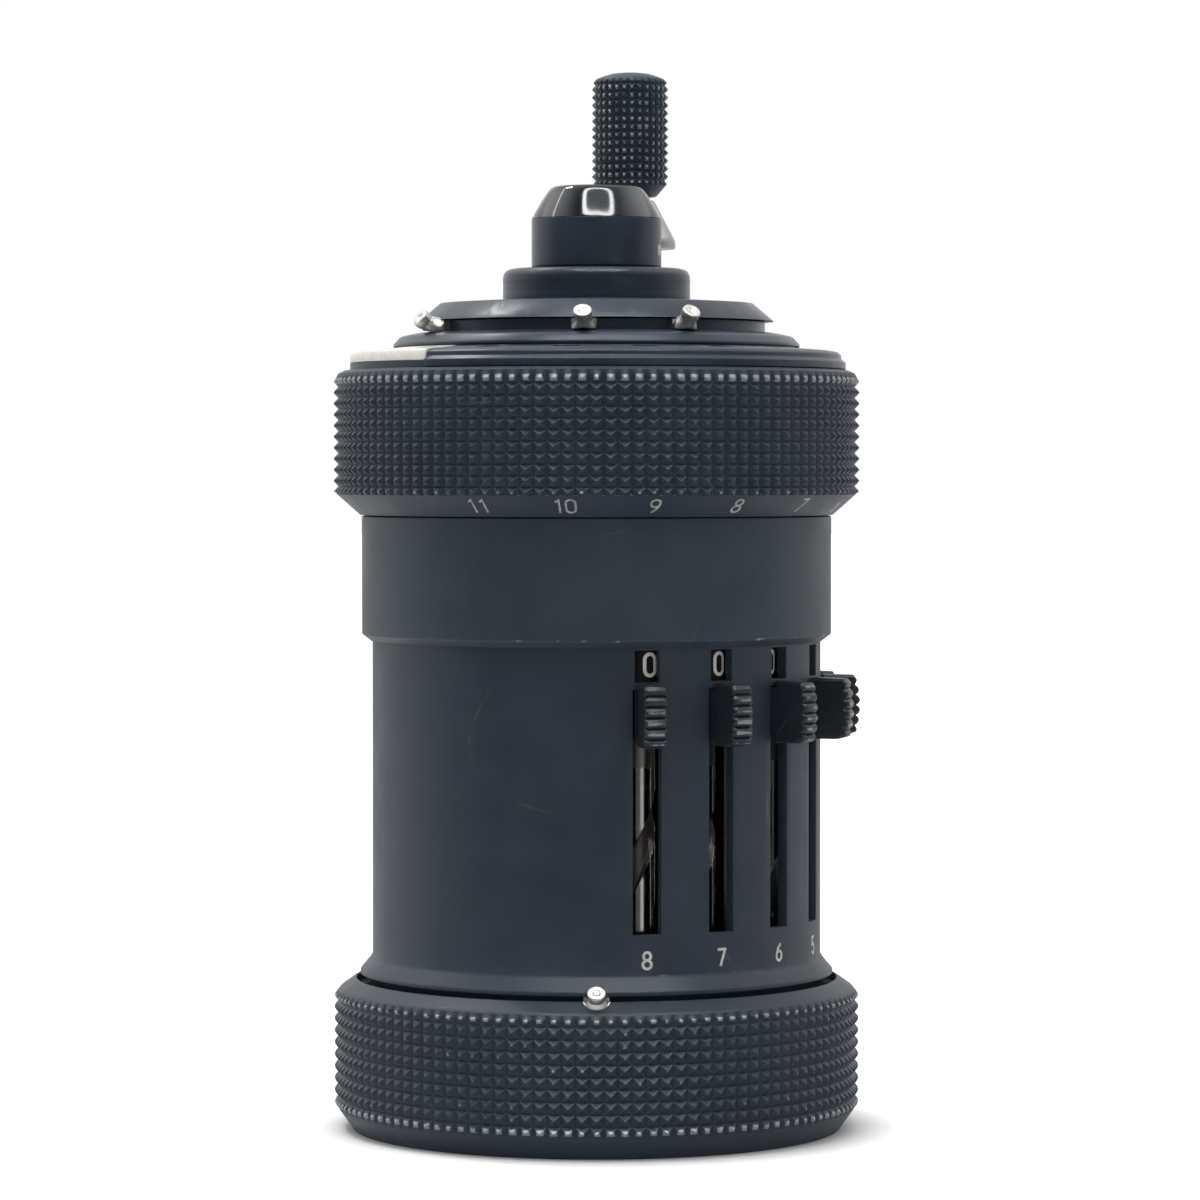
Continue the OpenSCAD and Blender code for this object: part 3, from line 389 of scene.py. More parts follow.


# %% White paint, and two dimmer greys of it for the place numbers
def white(slot, tone, tone_2):
    """Flat paint with a fine grain, in two tones."""
    tree, shader = start(slot, Roughness=0.45, Specular_IOR_Level=0.4)
    skin = use(tree, film, grain=5200.0, mottle=1400.0)
    feed(shader, Base_Color=mixed(skin["Tone"], tone, tone_2),
         Normal=bump(skin["Height"], 0.3, 0.002))


white("white_paint", (0.7, 0.69, 0.63), (0.8, 0.79, 0.74))
white("number_white", (0.42, 0.42, 0.4), (0.6, 0.6, 0.56))
white("number_grey", (0.2, 0.21, 0.2), (0.42, 0.43, 0.41))


# %% Steels and brass
def metal(slot, tone, tone_2, rough, marks, grain=0.0012):
    """Bare metal: two tones, drawn or turned marks, and dark brown by the worn value: the
    spindles' groove and painted shade.
    """
    tree, shader = start(slot, Metallic=1.0)
    skin = use(tree, drawn)
    height = skin["Height"] if marks == "drawn" else use(tree, lathe)["Height"]
    groove_and_shade = add(tree, "ShaderNodeAttribute", attribute_name="worn").outputs["Fac"]
    # The dark brown is darker steel in the spindles' groove, and a painted shade below each
    # slider.
    colour = mixed(groove_and_shade, mixed(skin["Tone"], tone, tone_2), (0.16, 0.145, 0.14))
    dull = plus(times(skin["Tone"], 0.12), times(groove_and_shade, 0.4))
    feed(shader, Base_Color=colour, Roughness=plus(dull, rough), Normal=bump(height, 0.4, grain))


metal("steel", (0.3, 0.295, 0.285), (0.42, 0.41, 0.395), 0.3, "turned")
metal("spindle_steel", (0.38, 0.38, 0.345), (0.46, 0.46, 0.42), 0.12, "turned", 0.0002)
# Painted shade: near-black steel for the parts deep inside, standing for the shade within the
# slots.
metal("painted_shade_steel", (0.05, 0.05, 0.052), (0.09, 0.088, 0.085), 0.45, "turned")
metal("spring_steel", (0.3, 0.31, 0.33), (0.42, 0.43, 0.45), 0.3, "drawn")
metal("marker_steel", (0.58, 0.57, 0.54), (0.72, 0.71, 0.68), 0.34, "turned", 0.0005)
metal("brass", (0.46, 0.33, 0.13), (0.6, 0.45, 0.2), 0.32, "turned")
print("finishes:", sorted(paint))

# %% Every CAD node takes its finish
slot_of = {s["node"]: s["material_slot"] for s in frame["record"]["subparts"]}
# The parts deep inside take the near-black steel, as painted shade.
deep_inside = ("transmission_shafts", "frame_posts", "stepped_drum", "main_shaft")
for name, solid in frame["nodes"].items():
    solid.data.materials.clear()
    solid.data.materials.append(paint["painted_shade_steel" if name in deep_inside else slot_of[name]])
print(len(slot_of), "CAD nodes painted")

# %% [markdown]
# ## Knurled grips
#
# The two grip rings and the crank's knob are knurled: small square pyramids, with tips that hands
# have worn flat and bright. Displacement in a material would leave the outline smooth, and here
# the teeth show along the outline. So the pyramids are real: each is the lower of two tooth waves,
# one round the ring and one up it. A cone cuts off the rows at the ends, as the chamfer does.

# %% Knurled surface
def tooth(distance):
    """Height over the groove, 0 to 1, at a distance from a tooth's crest in pitches."""
    return np.clip((0.5 - distance) / 0.45, 0, 1)


def knurled(count, first, pitch, rows, z0, z1, radius, depth, limit, before, after, wears,
            wrap=True):
    """Pyramids from the lower of two teeth: r = radius - depth (1 - min(tooth(turn), tooth(z))).

    The crests lie at first + k pitch, and over the last one only the upright grooves go on. limit
    gives the largest radius at a height. before and after are plain profile rows under and over
    the band. wears is for the lowest, middle and top rows."""
    local = np.array([0.0, 0.45, 0.55])
    turns = ((np.arange(count)[:, None] + local) * 360 / count).ravel()
    crest = np.tile(tooth(np.abs(local - 0.5)), count)
    lines = first + (np.arange(rows)[:, None] + np.array([-0.5, -0.05, 0.05, 0.5])) * pitch
    last = first + (rows - 1) * pitch
    steps = np.unique(np.concatenate([lines.ravel(), np.linspace(z0, first, 6),
                                      np.linspace(last - pitch / 2, z1, 9)]).round(4))
    steps = steps[(steps >= z0) & (steps <= z1)]
    row = np.clip(np.round((steps - first) / pitch), 0, rows - 1)
    up = np.where(steps > last, 1.0, tooth(np.abs((steps - first) / pitch - row)))
    height = np.minimum(crest[:, None], up[None, :])
    band = np.minimum(radius - depth * (1 - height), limit(steps)[None, :])
    wear = np.where(row == 0, wears[0], np.where(row == rows - 1, wears[2], wears[1]))
    worn = (band > radius - 0.35 * depth) * wear[None, :]
    sides = [np.array(rows_of, float) for rows_of in (before, after)]
    low, high = (np.broadcast_to(side, (len(turns), *side.shape)) for side in sides)
    radii = np.hstack([low[..., 0], band, high[..., 0]])
    heights = np.hstack([low[..., 1], np.broadcast_to(steps, band.shape), high[..., 1]])
    worn = np.hstack([low[..., 0] * 0, worn, high[..., 0] * 0])
    quads = grid_faces(*radii.shape, True, wrap)
    flat = radii.ravel()[quads]
    other = np.abs(flat[:, 0] - flat[:, 2]) < np.abs(flat[:, 1] - flat[:, 3])
    bent = np.abs(flat[:, 0] + flat[:, 2] - flat[:, 1] - flat[:, 3]) > 0.02
    a, b = quads[bent & ~other], quads[bent & other]
    faces = [quads[~bent], a[:, [0, 1, 2]], a[:, [0, 2, 3]], b[:, [0, 1, 3]], b[:, [1, 2, 3]]]
    points = round_axis(turns[:, None], radii, heights)
    return points, faces, worn.ravel()


# %% [markdown]
# ## Base cup
#
# The cup closes the machine from below. Its wall is one knurled surface, from the chamfer at the
# foot to the lip that grips the sleeve. The flat floor with its three screw holes is already right
# in the CAD model, so a copy of it is kept and joined to the new wall.

# %% Part of a CAD node
def cad_part(node, keep=None):
    """A CAD node's corners in mm and its triangles, merged, where keep(centres) is True."""
    mesh = frame["nodes"][node].data
    points = np.zeros(len(mesh.vertices) * 3, np.float32)
    mesh.vertices.foreach_get("co", points)
    mesh.calc_loop_triangles()
    faces = np.zeros(len(mesh.loop_triangles) * 3, np.int32)
    mesh.loop_triangles.foreach_get("vertices", faces)
    points, faces = points.reshape(-1, 3) / MM, faces.reshape(-1, 3)
    points, same = np.unique(points.round(4), axis=0, return_inverse=True)
    faces = same.ravel()[faces]
    if keep is not None:
        faces = faces[keep(points[faces].mean(1))]
    distinct = (faces[:, 0] != faces[:, 1]) & (faces[:, 1] != faces[:, 2])
    return points, [faces[distinct & (faces[:, 0] != faces[:, 2])]]


# %% Base cup
grip_r, grip_depth, pyramids = 26.5, 0.45, 120
base_top, sleeve_hole, cup_in = 14.3, 22.67, 24.2


def base_cone(z):
    """The chamfer at the cup's foot and the bevel at its upper edge, as largest radii."""
    return np.minimum(24.65 + z * 0.72, 26.05 + (14.05 - z) * 0.75)


upper = rounded([(26.05, 14.05), (25.85, 14.25, 0.1), (24.5, 15.2, 0.1), (24.28, 15.2, 0.04),
                 (24.28, base_top, 0.04), (sleeve_hole, base_top, 0.1), (sleeve_hole, 12.3),
                 (cup_in, 12.3), (cup_in, 12.2)])
low = [(24.65, 0.0), (24.71, 0.08)]
points, faces, worn = knurled(pyramids, 2.63, 1.203, 10, 1.95, 14.03, grip_r, grip_depth,
                              base_cone, low, upper, (1.5, 0.72, 1.15), wrap=False)
floor = cad_part("base_cup", lambda c: (np.hypot(c[:, 0], c[:, 1]) < 24.3) | (c[:, 2] < 0.01))
worn = np.concatenate([worn, np.zeros(len(floor[0]))])
cup = make_piece("knurled_cup", *joined([(points, faces), floor]), "root", "enamel", worn=worn)
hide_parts("base_cup")

# %% [markdown]
# ## Slotted sleeve and collar
#
# The sleeve is a thin tube with a flared foot, eight setting slots, a window over each slot and
# one more slot at the back. Cutting holes with booleans would leave ragged facets. A grid whose
# lines run along the slots' edges can simply leave those cells open.

# %% Slotted sleeve
body_r, body_bore, step = 22.65, 21.55, 3.0
slider_turns, lever_turns = 70.0 - 20.0 * np.arange(8), np.array([135.0])


def nearest(turns, centres):
    """Each turn's distance in degrees from the nearest centre, round the circle."""
    return np.abs((turns[:, None] - centres[None, :] + 180) % 360 - 180).min(1)


def both_sides(centres, half):
    return np.concatenate([centres - half, centres + half])


slot_half, pane_half, lever_half = (np.degrees(np.arcsin(w / body_r)) for w in (1.4, 1.22, 1.1))
slot_sides = both_sides(slider_turns, slot_half)
plain = np.arange(-180, 180, step)
plain = plain[(nearest(plain, slot_sides) > 0.4 * step)
              & (nearest(plain, slider_turns) > slot_half)
              & (nearest(plain, lever_turns) > lever_half + 0.8)]
turns = np.sort(np.concatenate([plain, slot_sides, both_sides(slider_turns, pane_half),
                                both_sides(lever_turns, lever_half)]))
slot_low, slot_high, pane_low, pane_high, lever_low = 21.4, 45.2, 45.9, 49.0, 36.6
outer = np.array([(body_r, 12.6), (body_r, 15.6), (23.78, 15.6), (23.9, 15.7), (23.9, 15.95),
                  (23.82, 16.1), (22.9, 17.2)]
                 + [(body_r, z) for z in (17.6, slot_low, lever_low, slot_high, pane_low,
                                          pane_high, 60.9)])
inner = outer + np.arange(len(outer))[:, None] * 0.001
inner[:, 0] = body_bore
inner[:8, 1] = np.linspace(12.6, 17.6, 8)
middles = (turns + np.diff(np.append(turns, turns[0] + 360)) / 2 + 180) % 360 - 180
heights = (outer[:-1, 1] + outer[1:, 1]) / 2
openings = [(slider_turns, slot_half, slot_low, slot_high),
            (slider_turns, pane_half, pane_low, pane_high),
            (lever_turns, lever_half, lever_low, slot_high)]
solid = ~np.any([(nearest(middles, centres) < half)[:, None] & (heights > low) & (heights < high)
                 for centres, half, low, high in openings], axis=0)
sleeve = make_piece("slotted_sleeve", *shell(turns, outer, inner, solid), "root", "enamel")
soften(sleeve, 0.07)
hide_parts("housing_sleeve")

# %% Upper collar
points, faces = turned(rounded([
    (22.67, 49.2), (22.8, 49.2, 0.04), (23.7, 49.9, 0.12), (23.7, 50.15), (23.7, 61.8, 0.22),
    (19.55, 61.8, 0.1), (19.55, 61.0), (22.67, 61.0)]))
# A painted highlight: a thin band of bare metal round the collar's lower rim stands for the light
# the rim catches.
painted_rim_highlight = (points[:, 2] > 49.8) & (points[:, 2] < 50.1)
collar = make_piece("plain_collar", points, faces, "root", "enamel", worn=1.3 * painted_rim_highlight,
                    finish="collar_enamel")
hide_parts("upper_collar")

# %% [markdown]
# ## Carriage
#
# The knurled carriage turns and lifts under the hand. The bevel at its foot carries the place
# numbers, and on top two covers, one black and one white, lie over the number dials.

# %% Knurled carriage ring
def carriage_cone(z):
    """The bevels that end the carriage's knurl, as largest radii."""
    return np.minimum(26.2 + (z - 64.0) * 1.2, 26.05 + (76.1 - z) * 0.55)


under = rounded([(24.0, 63.1), (20.6, 63.1), (20.6, 62.1, 0.1), (22.9, 62.1), (22.95, 61.88),
                 (23.85, 61.88, 0.06), (26.2, 63.98, 0.06)])
over = rounded([(26.05, 76.1), (25.4, 76.4, 0.05), (24.85, 76.4, 0.05), (24.85, 77.1, 0.08),
                (24.0, 77.1, 0.08), (24.0, 64.0)])
points, faces, worn = knurled(pyramids, 64.2, 1.11, 11, 64.05, 76.05, grip_r, grip_depth,
                              carriage_cone, under, over, (0.85, 0.6, 1.5))
ring = make_piece("knurled_carriage", points, faces, "carriage", "enamel", worn=worn)
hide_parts("carriage_ring")

# %% Covers with their windows
window_half = np.degrees(np.arcsin(1.3 / 22.1))    # 1.3 mm to each side


def cover(name, node, slot, start, end, top, under, dials):
    """A sector of a turned wall, open over each dial in the profile's last step but one."""
    sides = both_sides(dials, window_half)
    plain = np.arange(start + 2, end - 1, 2.5)
    turns = np.sort(np.concatenate([[start, end], plain[nearest(plain, sides) > 0.9], sides]))
    middles = (turns[:-1] + turns[1:]) / 2
    solid = np.ones((len(middles), len(top) - 1), bool)
    solid[nearest(middles, dials) < window_half, -2] = False
    made = make_piece(name, *shell(turns, np.array(top), np.array(under), solid, wrap=False),
                      "carriage", slot)
    soften(made, 0.12, segments=3)
    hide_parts(node)


result_turns = 110.0 - 20.0 * np.arange(1, 12)
counter_turns = -110.0 - 20.0 * np.arange(1, 7)
cover("black_cover", "result_cover", "enamel_dark", -124.5, 120.0,
      [(25.0, 76.45), (25.15, 76.5), (25.15, 77.2), (24.88, 77.38), (24.72, 77.55), (24.66, 77.95),
       (24.3, 78.24), (23.4, 78.38), (20.8, 78.58), (20.4, 78.65)],
      [(24.92, 76.46), (24.91, 76.6), (24.9, 77.1), (24.6, 77.15), (24.5, 77.15), (24.4, 77.15),
       (24.0, 77.15), (23.4, 77.15), (20.8, 77.15), (20.4, 77.15)], result_turns)
cover("white_cover", "counter_cover", "white_paint", -240.0, -124.65,
      [(24.85, 77.15), (24.85, 77.85), (24.75, 78.1), (24.5, 78.25), (23.9, 78.33), (23.4, 78.37),
       (20.8, 78.6), (20.4, 78.65)],
      [(24.84, 77.149), (24.7, 77.15), (24.6, 77.15), (24.5, 77.15), (23.9, 77.15), (23.4, 77.15),
       (20.8, 77.15), (20.4, 77.15)], counter_turns)

# %% [markdown]
# ## Discs on top
#
# Above the covers lie the marker track, the clearing plate and the cap of the carriage spring. The
# track and the cap are plain turned rings. The clearing plate has a pocket for the finger ring, so
# it is a copy of the CAD solid with its edges rounded, as are the last small steel pieces.

# %% Turned rings
track = make_piece("marker_track", *turned(rounded([
    (5.05, 68.55), (10.6, 68.55), (10.6, 72.3), (12.9, 72.3), (12.9, 75.5), (10.6, 75.5),
    (10.6, 76.9), (20.1, 76.9), (20.1, 78.75), (20.5, 78.75, 0.05), (20.5, 79.0, 0.15),
    (19.8, 79.78, 0.3), (18.1, 80.15, 0.3), (17.0, 80.15, 0.05), (17.0, 81.25, 0.05),
    (10.6, 81.25), (10.6, 83.25, 0.1), (9.6, 83.25, 0.08), (9.6, 70.35), (5.05, 70.35)])),
    "carriage", "enamel_dark")
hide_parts("dial_frame")
rings = np.linspace(8.0, 3.4, 47)
cap_top = np.stack([rings, 86.65 + 0.012 * np.cos(np.arange(len(rings)) * np.pi)], -1)
wall = [(9.45 - 0.03 * (row % 2), 84.2 + 0.12 * row) for row in range(9)]
cap = make_piece("turned_cap", *turned(np.concatenate([
    rounded([(3.0, 86.17), (5.02, 86.17), (5.02, 83.45), (9.45, 83.45, 0.1)] + wall
            + [(9.45, 86.65, 1.1), (8.1, 86.65)], 8)[:-1], cap_top, [[3.0, 86.6]]])),
    "root", "enamel_dark")
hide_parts("spring_cap")

# %% Carriage spring, a coil of wire round the main axis
def coil(winds, radius, wire, low, high):
    """A wire round an evenly climbing line: radius + wire cos(s), height + wire sin(s)."""
    around, sides = 24, 8
    climb = np.linspace(0, 1, winds * around + 1)[:, None]
    s = np.radians(np.arange(sides) * 360 / sides)
    points = round_axis(90 + 360 * winds * climb, radius + wire * np.cos(s),
                        low + (high - low) * climb + wire * np.sin(s))
    last, j = winds * around * sides, np.arange(1, sides - 1)
    return points, [grid_faces(winds * around + 1, sides, wrap_rows=True),
                    fan(0, j, j + 1), fan(0, j + 1, j) + last]


spring_low, spring_high, wire_r, lift = 71.72, 83.33, 0.53, 4.0
wire = coil(5, 7.3, wire_r, spring_low + wire_r, spring_high - wire_r)
spring = make_piece("coiled_wire", *wire, "root", "spring_steel", sharp=60)
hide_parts("carriage_spring")
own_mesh(spring)


# %% Copies of CAD solids with rounded edges
def rounded_copy(name, node, slot, width):
    """A merged copy of a CAD solid, with its flat faces whole again and its edges rounded."""
    piece = make_piece(name, *cad_part(node), body_of[node], slot)
    flat = piece.modifiers.new("flat", "DECIMATE")
    flat.decimate_type, flat.angle_limit = "DISSOLVE", np.radians(0.6)
    soften(piece, width)
    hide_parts(node)


body_of = {n: b for b, nodes in frame["record"]["behaviour"]["bodies"].items() for n in nodes}
rounded_copy("clearing_disc", "clearing_plate", "enamel_dark", 0.14)
rounded_copy("folding_ring", "finger_ring", "steel", 0.22)
rivet = turned(rounded([(0, 83.8), (1.43, 83.8), (1.43, 84.02, 0.06), (1.0, 84.17, 0.2),
                        (0, 84.2)]), 48, False)
make_piece("ring_rivet", *placed(rivet, 110.0, 14.2), "clearing", "steel")
rounded_copy("back_lever", "reversing_lever", "slider_black", 0.2)

# %% [markdown]
# ## Crank
#
# The hub is a short matt cylinder under a glossy cone, with the end of its cross pin at the side.
# A steel arm leaves the hub and ends in a conical foot, on which the knurled knob spins.

# %% Hub and cross pin
crank_turn, crank_reach = 82.0, 13.0
hub = make_piece("crank_cap", *turned(rounded([
    (0, 86.85), (6.55, 86.85, 0.08), (6.55, 91.66, 0.08), (6.3, 91.7), (0, 91.7)]), closed=False),
    "crank", "enamel_dark")
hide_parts("crank_hub")
lean_at = [0.0, 0.26, 1.65, 2.83, 3.3, 3.6, 4.0, 4.35]
lean = np.radians([24.0, 27.0, 31.0, 34.5, 39.0, 48.0, 75.0, 90.0])
path = np.linspace(0, lean_at[-1], 60)
leaning = np.interp(path[:-1] + path[1] / 2, lean_at, lean)
cone = np.stack([6.53 - np.append(0, np.cumsum(np.sin(leaning))) * path[1],
                 91.72 + np.append(0, np.cumsum(np.cos(leaning))) * path[1]], -1)
cone = np.vstack([[0, 91.6], [6.4, 91.6], cone, [0, cone[-1, 1]]])
make_piece("crank_cone", *turned(cone, closed=False), "crank", "enamel_dark",
           finish="enamel_gloss")
print("the cone ends at height", round(cone[-1, 1], 2))
points, faces = turned(rounded([(0, -0.35), (0.66, -0.35), (0.66, 0.04, 0.12), (0, 0.07)]),
                       40, False)
pin_end = points[:, [0, 2, 1]] * [1, -1, 1], faces
for n, turn in enumerate((crank_turn - 90, crank_turn + 90), 1):
    make_piece(f"cross_pin_end_{n}", *placed(pin_end, turn, 6.53, 88.45), "crank", "steel")

# %% Arm and foot
foot = turned(rounded([(0, 89.2), (4.7, 89.2, 0.25), (4.7, 90.0, 0.35), (2.5, 94.2, 0.25),
                       (1.5, 94.3), (1.5, 104.8), (0, 104.8)]), 96, False)
x, y, z = np.meshgrid([-2.0, 2.0], [-13.0, -3.5], [89.3, 91.5], indexing="ij")
arm_points = np.stack([x, y, z], -1).reshape(-1, 3)
arm_faces = np.array([[0, 1, 3, 2], [4, 6, 7, 5], [0, 4, 5, 1], [2, 3, 7, 6], [0, 2, 6, 4],
                      [1, 5, 7, 3]])
arm = make_piece("crank_foot", *placed(foot, crank_turn, crank_reach), "crank", "steel")
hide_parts("crank_arm")
bar = make_piece("crank_bar", *placed((arm_points, [arm_faces]), crank_turn), "crank", "steel")
soften(bar, 0.3, segments=3)

# %% Knurled knob
def knob_cone(z):
    """The chamfer at the knob's foot and the crown on top, as largest radii."""
    return np.minimum(2.7 + (z - 94.6) * 0.84, 3.93 - np.clip(z - 106.2, 0, None) * 0.8)


knob_teeth = 30
foot = [(1.55, 94.8), (1.55, 94.62), (1.7, 94.6), (2.6, 94.6), (2.78, 94.7)]
crown = [(3.4, 106.78), (3.1, 106.9), (2.5, 107.12), (1.9, 107.28), (1.2, 107.37), (0.3, 107.4)]
points, faces, worn = knurled(knob_teeth, 95.88, 0.8166, 14, 95.2, 106.7, 3.93, 0.36, knob_cone,
                              foot, crown, (1.1, 1.15, 1.4), wrap=False)
rows = len(points) // (3 * knob_teeth)
lowest = np.arange(0, len(points), rows)
highest = lowest + rows - 1
faces += [fan(len(points), highest, np.roll(highest, -1)),
          fan(len(points) + 1, np.roll(lowest, -1), lowest)]
points = np.vstack([points, [0, 0, 107.4], [0, 0, 94.8]])
knob = make_piece("knurled_knob", *placed((points, faces), crank_turn, crank_reach), "knob",
                  "enamel", worn=np.append(worn, [0, 0]))
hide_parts("crank_knob")

# %% [markdown]
# ## Setting sliders
#
# Each slider is a black finger piece with six rounded ridges, on a neck that runs in its slot. The
# ridges are a wave in the outline, which is carried across the width and drawn in at both sides.
# The neck, the fork and the pinion behind it are a copy of the CAD solid's inner part.

# %% Finger piece
def finger_piece():
    """The outline (distance, height) carried across the width; at the sides it is drawn inwards.

    Ridges: distance = 4.05 - 0.35 u^2 - 0.4 (1 - |cos(pi t)|^0.7), with u from -1 to 1 over the
    six crests, which are 1.05 mm apart."""
    t = np.linspace(0, 5, 51)
    crest = np.abs(np.cos(np.pi * t))
    bulge = 4.05 - 0.35 * (t / 2.5 - 1) ** 2
    ridges = np.stack([bulge - 0.4 * (1 - crest ** 0.7), -2.75 + t * 1.05], -1)
    lower = rounded([(0.2, -3.12, 0.1), (2.75, -3.12, 0.2), (3.55, -2.9)])
    outline = np.concatenate([lower, ridges, rounded([(3.45, 2.9, 0.1), (0.2, 2.98, 0.1)])])
    worn = np.zeros(len(outline))
    worn[len(lower):len(lower) + len(t)] = crest ** 3 * np.interp(
        t, range(6), [0.72, 0.95, 0.95, 0.78, 0.7, 0.66])
    across = np.array([-1.1, -1.07, -0.98, -0.78, 0.0, 0.78, 0.98, 1.07, 1.1])
    drawn_in = np.array([0.34, 0.2, 0.08, 0.0, 0.0, 0.0, 0.08, 0.2, 0.34])
    middle = np.array([1.9, -0.1])
    away = outline - middle
    away /= np.linalg.norm(away, axis=1)[:, None]
    ring = outline[None] - away[None] * drawn_in[:, None, None]
    x = np.broadcast_to(across[:, None], ring.shape[:2])
    points = np.stack([x, -ring[..., 0], ring[..., 1]], -1).reshape(-1, 3)
    first = np.arange(len(outline))
    after = np.roll(first, -1)
    last = (len(across) - 1) * len(outline)
    faces = [grid_faces(len(across), len(outline), False, True)[:, ::-1],
             fan(len(points), first, after), fan(len(points) + 1, last + after, last + first)]
    points = np.vstack([points] + [[x, -middle[0], middle[1]] for x in across[[0, -1]]])
    worn = np.append(((np.abs(across) < 0.9)[:, None] * worn).ravel(), [0, 0])
    return (points, faces), worn


# %% Eight sliders
slider_rest = 42.75
finger, finger_worn = finger_piece()
for k, turn in enumerate(slider_turns, 1):
    inside = cad_part(f"slider_{k}", lambda c: np.hypot(c[:, 0], c[:, 1]) < 22.84)
    worn = np.concatenate([finger_worn, np.zeros(len(inside[0]))])
    shape = joined([placed(finger, turn, body_r, slider_rest), inside])
    piece = make_piece(f"ridged_slider_{k}", *shape, f"slider_{k}", "slider_black", worn=worn)
    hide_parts(f"slider_{k}")

# %% [markdown]
# ## Spindles and number drums
#
# Behind each slot stands a bright steel spindle with a spiral groove. The slider's pin runs in the
# groove and turns the number drum behind the window. The groove is a twist of the spindle's grid:
# every row of the grid is turned a little further, so the groove's edges are lines of the grid.

# %% Spindle
spindle_reach, groove_climb = 18.5, 17.143    # mm from the main axis; degrees for each mm
local = np.array([-40, -38, -32, -16, 0, 16, 32, 38, 40] + list(range(48, 320, 8)), float)
away = np.abs((local + 180) % 360 - 180)
depth = np.interp(away, [32, 38, 40], [0.55, 0.08, 0.0])
rows = np.linspace(16.0, 45.8, 121)
twist = 236 + (rows - slider_rest) * groove_climb
wall = round_axis(local[:, None] + twist[None, :], (1.7 - depth)[:, None], rows[None, :])
wall = np.vstack([wall, [0, 0, rows[0]]])
first = np.arange(len(local)) * len(rows)
sides = [grid_faces(len(local), len(rows), True), fan(len(wall) - 1, np.roll(first, -1), first)]
journal = turned(np.array([(0, 13.9), (0.85, 13.9), (0.85, 16.1), (0, 16.1)]), 32, False)
spindle = joined([(wall, sides), journal])
# Darker in the groove, and from 37.4 mm up a painted shade at 0.55, standing for the shadow under
# the slider.
groove_and_shade = np.append(np.maximum((away < 38.5)[:, None], 0.55 * (rows > 37.4)).ravel(),
                np.zeros(1 + len(journal[0])))
drum_r = 2.93
drum = turned(rounded([(0, 45.7), (drum_r, 45.7, 0.08), (drum_r, 49.2, 0.08), (0.85, 49.2),
                       (0.85, 60.5), (0, 60.5)]), 72, False)
print("spindle:", len(spindle[0]), "corners; drum:", len(drum[0]), "corners")

# %% [markdown]
# ## Numerals
#
# The numerals are narrow and drawn with an even stroke. A font would bring its own weights, so
# each digit here is a path of straight lines and bows, and a flat band is carried along it. The
# band is then laid on the drum, the sleeve or the bevel by a function from flat to round.

# %% Paths of the ten digits
def bow(cx, cy, rx, ry, start, end, steps=7):
    a = np.radians(np.linspace(start, end, steps + 1))
    return np.stack([cx + rx * np.cos(a), cy + ry * np.sin(a)], -1)


six = np.concatenate([[(0.3, 1.0), (-0.22, 0.5)], bow(0, -0.42, 0.5, 0.58, 160, 520, 13)])
digits = {
    "0": np.concatenate([bow(0, 0.5, 0.5, 0.5, 0, 180), bow(0, -0.5, 0.5, 0.5, 180, 360),
                         [(0.5, 0.5)]]),
    "1": np.array([(-0.28, 0.62), (0.1, 1.0), (0.1, -1.0)]),
    "2": np.concatenate([bow(0, 0.48, 0.5, 0.52, 165, -35), [(-0.5, -1.0), (0.5, -1.0)]]),
    "3": np.concatenate([bow(0, 0.5, 0.44, 0.5, 150, -70), bow(0, -0.48, 0.5, 0.52, 65, -150)]),
    "4": np.array([(0.24, -1.0), (0.24, 1.0), (-0.5, -0.4), (0.52, -0.4)]),
    "5": np.concatenate([[(0.42, 1.0), (-0.36, 1.0), (-0.42, 0.12)],
                         bow(0, -0.38, 0.5, 0.62, 128, -150, 10)]),
    "6": six,
    "7": np.array([(-0.5, 1.0), (0.5, 1.0), (-0.12, -1.0)]),
    "8": np.concatenate([bow(0, 0.52, 0.42, 0.48, -90, 270, 12),
                         bow(0, -0.48, 0.5, 0.52, 90, -270, 12)[1:]]),
    "9": -six,
}


# %% A band along a path
band_thick, digit_step = 0.05, 1.3    # in mm; in widths, from one digit to the next


def stroke(path, size, weight):
    """Four corners beside each path point: half the weight to each side, above and below.

    At a bend the side is longer by 1 / cos(half the bend), so that the band keeps its width."""
    path = path * size
    leg = np.diff(path, axis=0)
    leg /= np.linalg.norm(leg, axis=1)[:, None]
    side = np.stack([-leg[:, 1], leg[:, 0]], -1)
    both = np.vstack([side[:1], side[:-1] + side[1:], side[-1:]])
    both /= np.linalg.norm(both, axis=1)[:, None]
    stretch = 1 / np.clip(np.abs((both * np.vstack([side, side[-1:]])).sum(1)), 0.6, 1)
    off = both * (stretch * weight / 2)[:, None]
    ring = np.stack([path + off, path - off, path - off, path + off], 1)
    lift = np.broadcast_to(np.array([1, 1, -1, -1]) * band_thick / 2, ring.shape[:2])
    points = np.concatenate([ring, lift[..., None]], -1).reshape(-1, 3)
    n = len(path)
    return points, [grid_faces(n, 4, False, True),
                    np.array([[0, 3, 2, 1], np.arange(4) + 4 * (n - 1)])]


def number(text, height, width, weight, lay):
    """The digits of a number side by side, laid on a surface by lay(x, y, lift)."""
    parts = []
    for i, digit in enumerate(text):
        points, faces = stroke(digits[digit], np.array([width, height / 2]), weight)
        x = points[:, 0] + (i - (len(text) - 1) / 2) * digit_step * width
        parts.append((lay(x, points[:, 1], points[:, 2]), faces))
    return parts


def on_wall(turn, radius, z, lean=0.0):
    """Lays a drawing on a cylinder, or on a cone that widens by lean for each mm upwards."""
    slope = np.hypot(1, lean)

    def lay(x, y, lift):
        out = radius + lean * y / slope + lift / slope
        up = z + y / slope - lift * lean / slope
        return round_axis(turn + np.degrees(x / radius), out, up)
    return lay


# %% Spindles, drums and their digits
def ten_digits(surface):
    """The digits 0 to 9, each laid on its place by surface(digit)."""
    return joined([part for d in range(10)
                   for part in number(str(d), 2.1, 1.08, 0.34, surface(d))])


